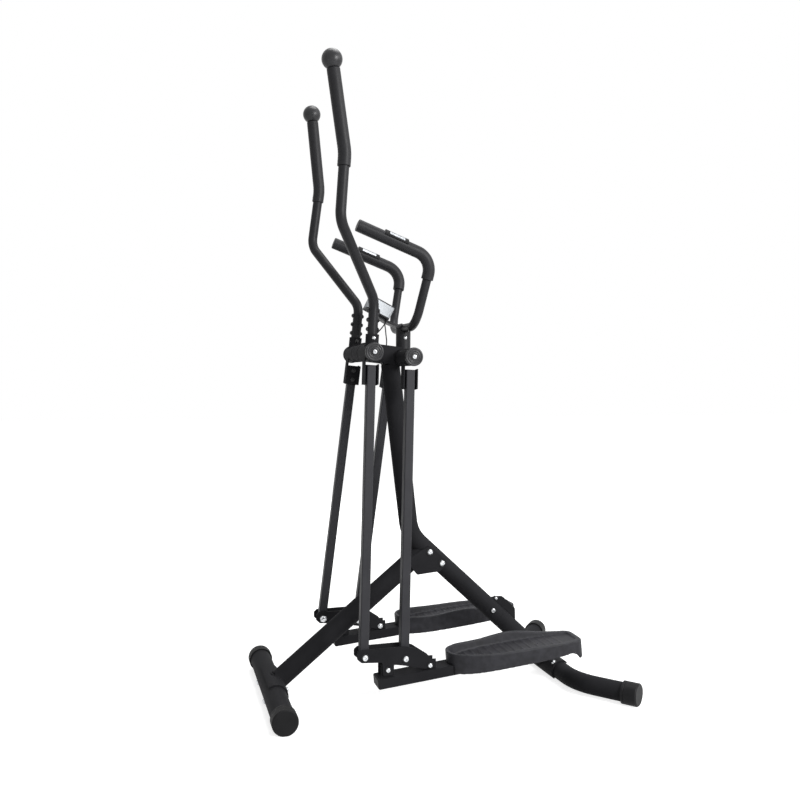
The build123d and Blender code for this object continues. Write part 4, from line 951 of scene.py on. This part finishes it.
@dataclass
class AxleEndCaps:
    """Covers on the four axle ends, which stand at `half` from the middle plane.

    Each has a rounded rim, a ring groove, a shallow dish and a flat seat under the screw.
    """

    half: float = 0.125
    bore: float = 4.4 * MM
    radius: float = 23.0 * MM
    thick: float = 5.0 * MM
    rim: float = 2.8 * MM
    groove: float = 0.9 * MM
    groove_at: float = 16.8 * MM
    groove_half: float = 1.2 * MM
    dish: float = 1.0 * MM
    dish_from: float = 8.6 * MM
    dish_to: float = 14.4 * MM
    around: int = 96
    rim_steps: int = 9
    face_steps: int = 64
    sharp_degrees: float = 40.0

    def profile(self) -> np.ndarray:
        """Closed profile of a cover: a level face, less a bell-shaped groove and a dish like a sine squared.

        Returns:
            Rows of height above the axle's end and radius.
        """
        quarter = np.linspace(0.0, math.pi / 2, self.rim_steps)
        shoulder = np.c_[self.thick - self.rim * (1 - np.sin(quarter)),
                         self.radius - self.rim * (1 - np.cos(quarter))]
        reach = np.linspace(self.radius - self.rim, self.bore, self.face_steps)[1:]
        ring = self.groove * np.exp(-((reach - self.groove_at) / self.groove_half) ** 2)
        share = np.clip((reach - self.dish_from) / (self.dish_to - self.dish_from), 0.0, 1.0)
        face = np.c_[self.thick - ring - self.dish * np.sin(math.pi * share) ** 2, reach]
        return np.r_[[(0.0, self.bore), (0.0, self.radius)], shoulder, face]

    def build(self) -> None:
        """Turn the profile about each end of both axles."""
        rows = self.profile()
        theta = np.linspace(0.0, 2 * math.pi, self.around, endpoint=False)
        faces = grid_faces(len(rows), self.around, True)
        covers = []
        for pivot in (pivot_place("left_front_pivot"), pivot_place("left_rear_pivot")):
            for side in Side:
                covers.append(np.stack(np.broadcast_arrays(
                    pivot[0] + rows[:, 1:2] * np.cos(theta), side.value * (self.half + rows[:, 0:1]),
                    pivot[2] + rows[:, 1:2] * np.sin(theta)), -1).reshape(-1, 3))
        count = len(covers[0])
        piece = make_mesh("axle_end_covers", np.concatenate(covers),
                          np.concatenate([faces + k * count for k in range(len(covers))]))
        piece.data.set_sharp_from_angle(angle=math.radians(self.sharp_degrees))
        settle(piece, "frame", KNOB_PLASTIC, ["axle_caps"])


@dataclass
class WeldBeads:
    """Fillet welds under the paint, where a tube stands on a wider round one that lies across."""

    bead: float = 2.4 * MM
    ripple: float = 0.2
    ripple_pitch: float = 5.0 * MM
    front_foot: Place = (-0.42692, 0.0, 0.030)
    front_rake: float = 39.2
    front_leg: float = 24.5 * MM
    front_saddle: float = 31.8 * MM
    rear_foot: Place = (0.333, 0.0, 0.0275)
    rear_rake: float = 137.2
    rear_leg: float = 24.25 * MM
    rear_saddle: float = 28.3 * MM
    socket: float = 16.5 * MM
    socket_y: float = 0.095
    sleeve: float = 22.0 * MM
    upright: float = 90.0
    around: int = 288
    across: int = 12

    def build(self) -> None:
        """Weld the legs to their saddles and the handle sockets to their sleeves."""
        self.ring("front_leg_weld", "frame", np.array(self.front_foot), self.front_rake, self.front_leg,
                  self.front_saddle)
        self.ring("rear_leg_weld", "frame", np.array(self.rear_foot), self.rear_rake, self.rear_leg,
                  self.rear_saddle)
        for side in Side:
            pivot = pivot_place(f"{side.word}_front_pivot")
            centre = np.array((pivot[0], side.value * self.socket_y, pivot[2]))
            self.ring(f"{side.word}_socket_weld", f"{side.word}_front_swing", centre,
                      self.upright - REST_SWING[side], self.socket, self.sleeve)

    def ring(self, name: str, body: str, centre: np.ndarray, rake: float, tube: float, drum: float) -> None:
        """One weld round a tube that stands on a drum.

        The line is centre + tube * (cos(t) along + sin(t) beside) + sqrt(drum^2 - (tube * sin(t))^2) rise,
        and the bead is a circle about it whose size ripples along the line.

        Args:
            name: Name of the weld.
            body: Body that carries it.
            centre: Where the two axes cross.
            rake: Direction of the tube in the side view, in degrees from the rearward horizontal.
            tube: Radius of the tube.
            drum: Radius of the drum, whose axis runs across the object.
        """
        a = math.radians(rake)
        rise = np.array((math.cos(a), 0.0, math.sin(a)))
        along = np.array((0.0, 1.0, 0.0))
        beside = np.cross(along, rise)
        t = np.linspace(0.0, 2 * math.pi, self.around, endpoint=False)[:, None]
        f = np.linspace(0.0, 2 * math.pi, self.across, endpoint=False)[None, :, None]
        out = np.cos(t) * along + np.sin(t) * beside
        line = centre + tube * out + np.sqrt(drum ** 2 - (tube * np.sin(t)) ** 2) * rise
        waves = round(2 * math.pi * tube / self.ripple_pitch)
        size = (self.bead * (1.0 - self.ripple * np.abs(np.sin(waves * t / 2))))[:, None]
        points = line[:, None] + size * (np.cos(f) * out[:, None] + np.sin(f) * rise)
        piece = make_mesh(name, points.reshape(-1, 3), grid_faces(self.around, self.across, True))
        settle(piece, body, MATT_COAT)


@dataclass
class FootPlates:
    """The two moulded foot plates, with the soft edges that a moulding has."""

    voxel: float = 1.7 * MM
    passes: int = 6
    pull: float = 0.5

    def build(self) -> None:
        """Soften a merged copy of each plate.

        The copy gets an even skin of small faces, and each point is drawn towards its neighbours.
        """
        for side in Side:
            node = f"{side.word}_foot_plate"
            mesh = frame["nodes"][node].data.copy()
            work = bmesh.new()
            work.from_mesh(mesh)
            bmesh.ops.remove_doubles(work, verts=work.verts, dist=MERGE)
            work.to_mesh(mesh)
            work.free()
            mesh.materials.clear()
            piece = link(bpy.data.objects.new(node + "_moulding", mesh))
            skin = piece.modifiers.new("skin", "REMESH")
            skin.mode = "VOXEL"
            skin.voxel_size = self.voxel
            soft = piece.modifiers.new("soft_edges", "SMOOTH")
            soft.factor = self.pull
            soft.iterations = self.passes
            shaped = piece.evaluated_get(bpy.context.evaluated_depsgraph_get())
            made = bpy.data.meshes.new_from_object(shaped)
            piece.modifiers.clear()
            piece.data = made
            made.shade_smooth()
            settle(piece, f"{side.word}_pedal", PLATE_PLASTIC, [node])


@dataclass
class PaintedFrame:
    """The welded tubes and brackets that stand still, with their caps and axles."""

    finishes: NodesByFinish = field(default_factory=lambda: {
        MATT_COAT: ("front_foot", "front_leg", "main_post", "rear_leg", "splice_bracket", "rear_foot"),
        GLOSS_COAT: ("handlebar",),
        CAP_PLASTIC: ("front_foot_caps", "rear_foot_caps"),
        AXLE_STEEL: ("front_axle", "rear_axle")})

    def build(self) -> None:
        """Dress the frame's nodes."""
        dress(self.finishes)


@dataclass
class SwingingLeg:
    """One hanging parallelogram leg with its handle."""

    side: Side
    finishes: NodesByFinish = field(default_factory=lambda: {
        MATT_COAT: ("front_hub", "rear_hub", "link_plates", "pedal_arm"),
        # The arms' coat carries painted light: its black is painted lighter than the frame's.
        SATIN_COAT_PAINTED_LIGHTER: ("front_arm", "rear_arm"),
        GLOSS_COAT: ("handle",),
        KNOB_PLASTIC: ("handle_ball",),
        CAP_PLASTIC: ("pedal_arm_cap",),
        BUSH_NYLON: ("front_bushes", "rear_bushes")})

    def build(self) -> None:
        """Dress the leg's nodes."""
        dress(self.finishes, prefix=f"{self.side.word}_")


@dataclass
class Console:
    """The small computer on its strap, and the pulse sensors on the fixed grips."""

    finishes: NodesByFinish = field(default_factory=lambda: {
        CONSOLE_DARK: ("console_back", "console_bezel", "console_strap"),
        CONSOLE_SILVER: ("console_body",),
        DISPLAY_CELL: ("console_display",),
        BUTTON_RUBBER: ("console_button",),
        CAP_PLASTIC: ("pulse_sensors",),
        PULSE_STEEL: ("pulse_plates",)})

    def build(self) -> None:
        """Dress the console's and the sensors' nodes."""
        dress(self.finishes)


def main() -> None:
    """Build every sub-assembly in order."""
    logging.basicConfig(level=logging.INFO, format="%(name)s: %(message)s")
    Studio().build()
    SensorLeads().build()
    FoamGrips().build()
    Fasteners().build()
    AxleEndCaps().build()
    WeldBeads().build()
    FootPlates().build()
    PaintedFrame().build()
    for side in Side:
        SwingingLeg(side).build()
    Console().build()


if __name__ == "__main__":
    main()
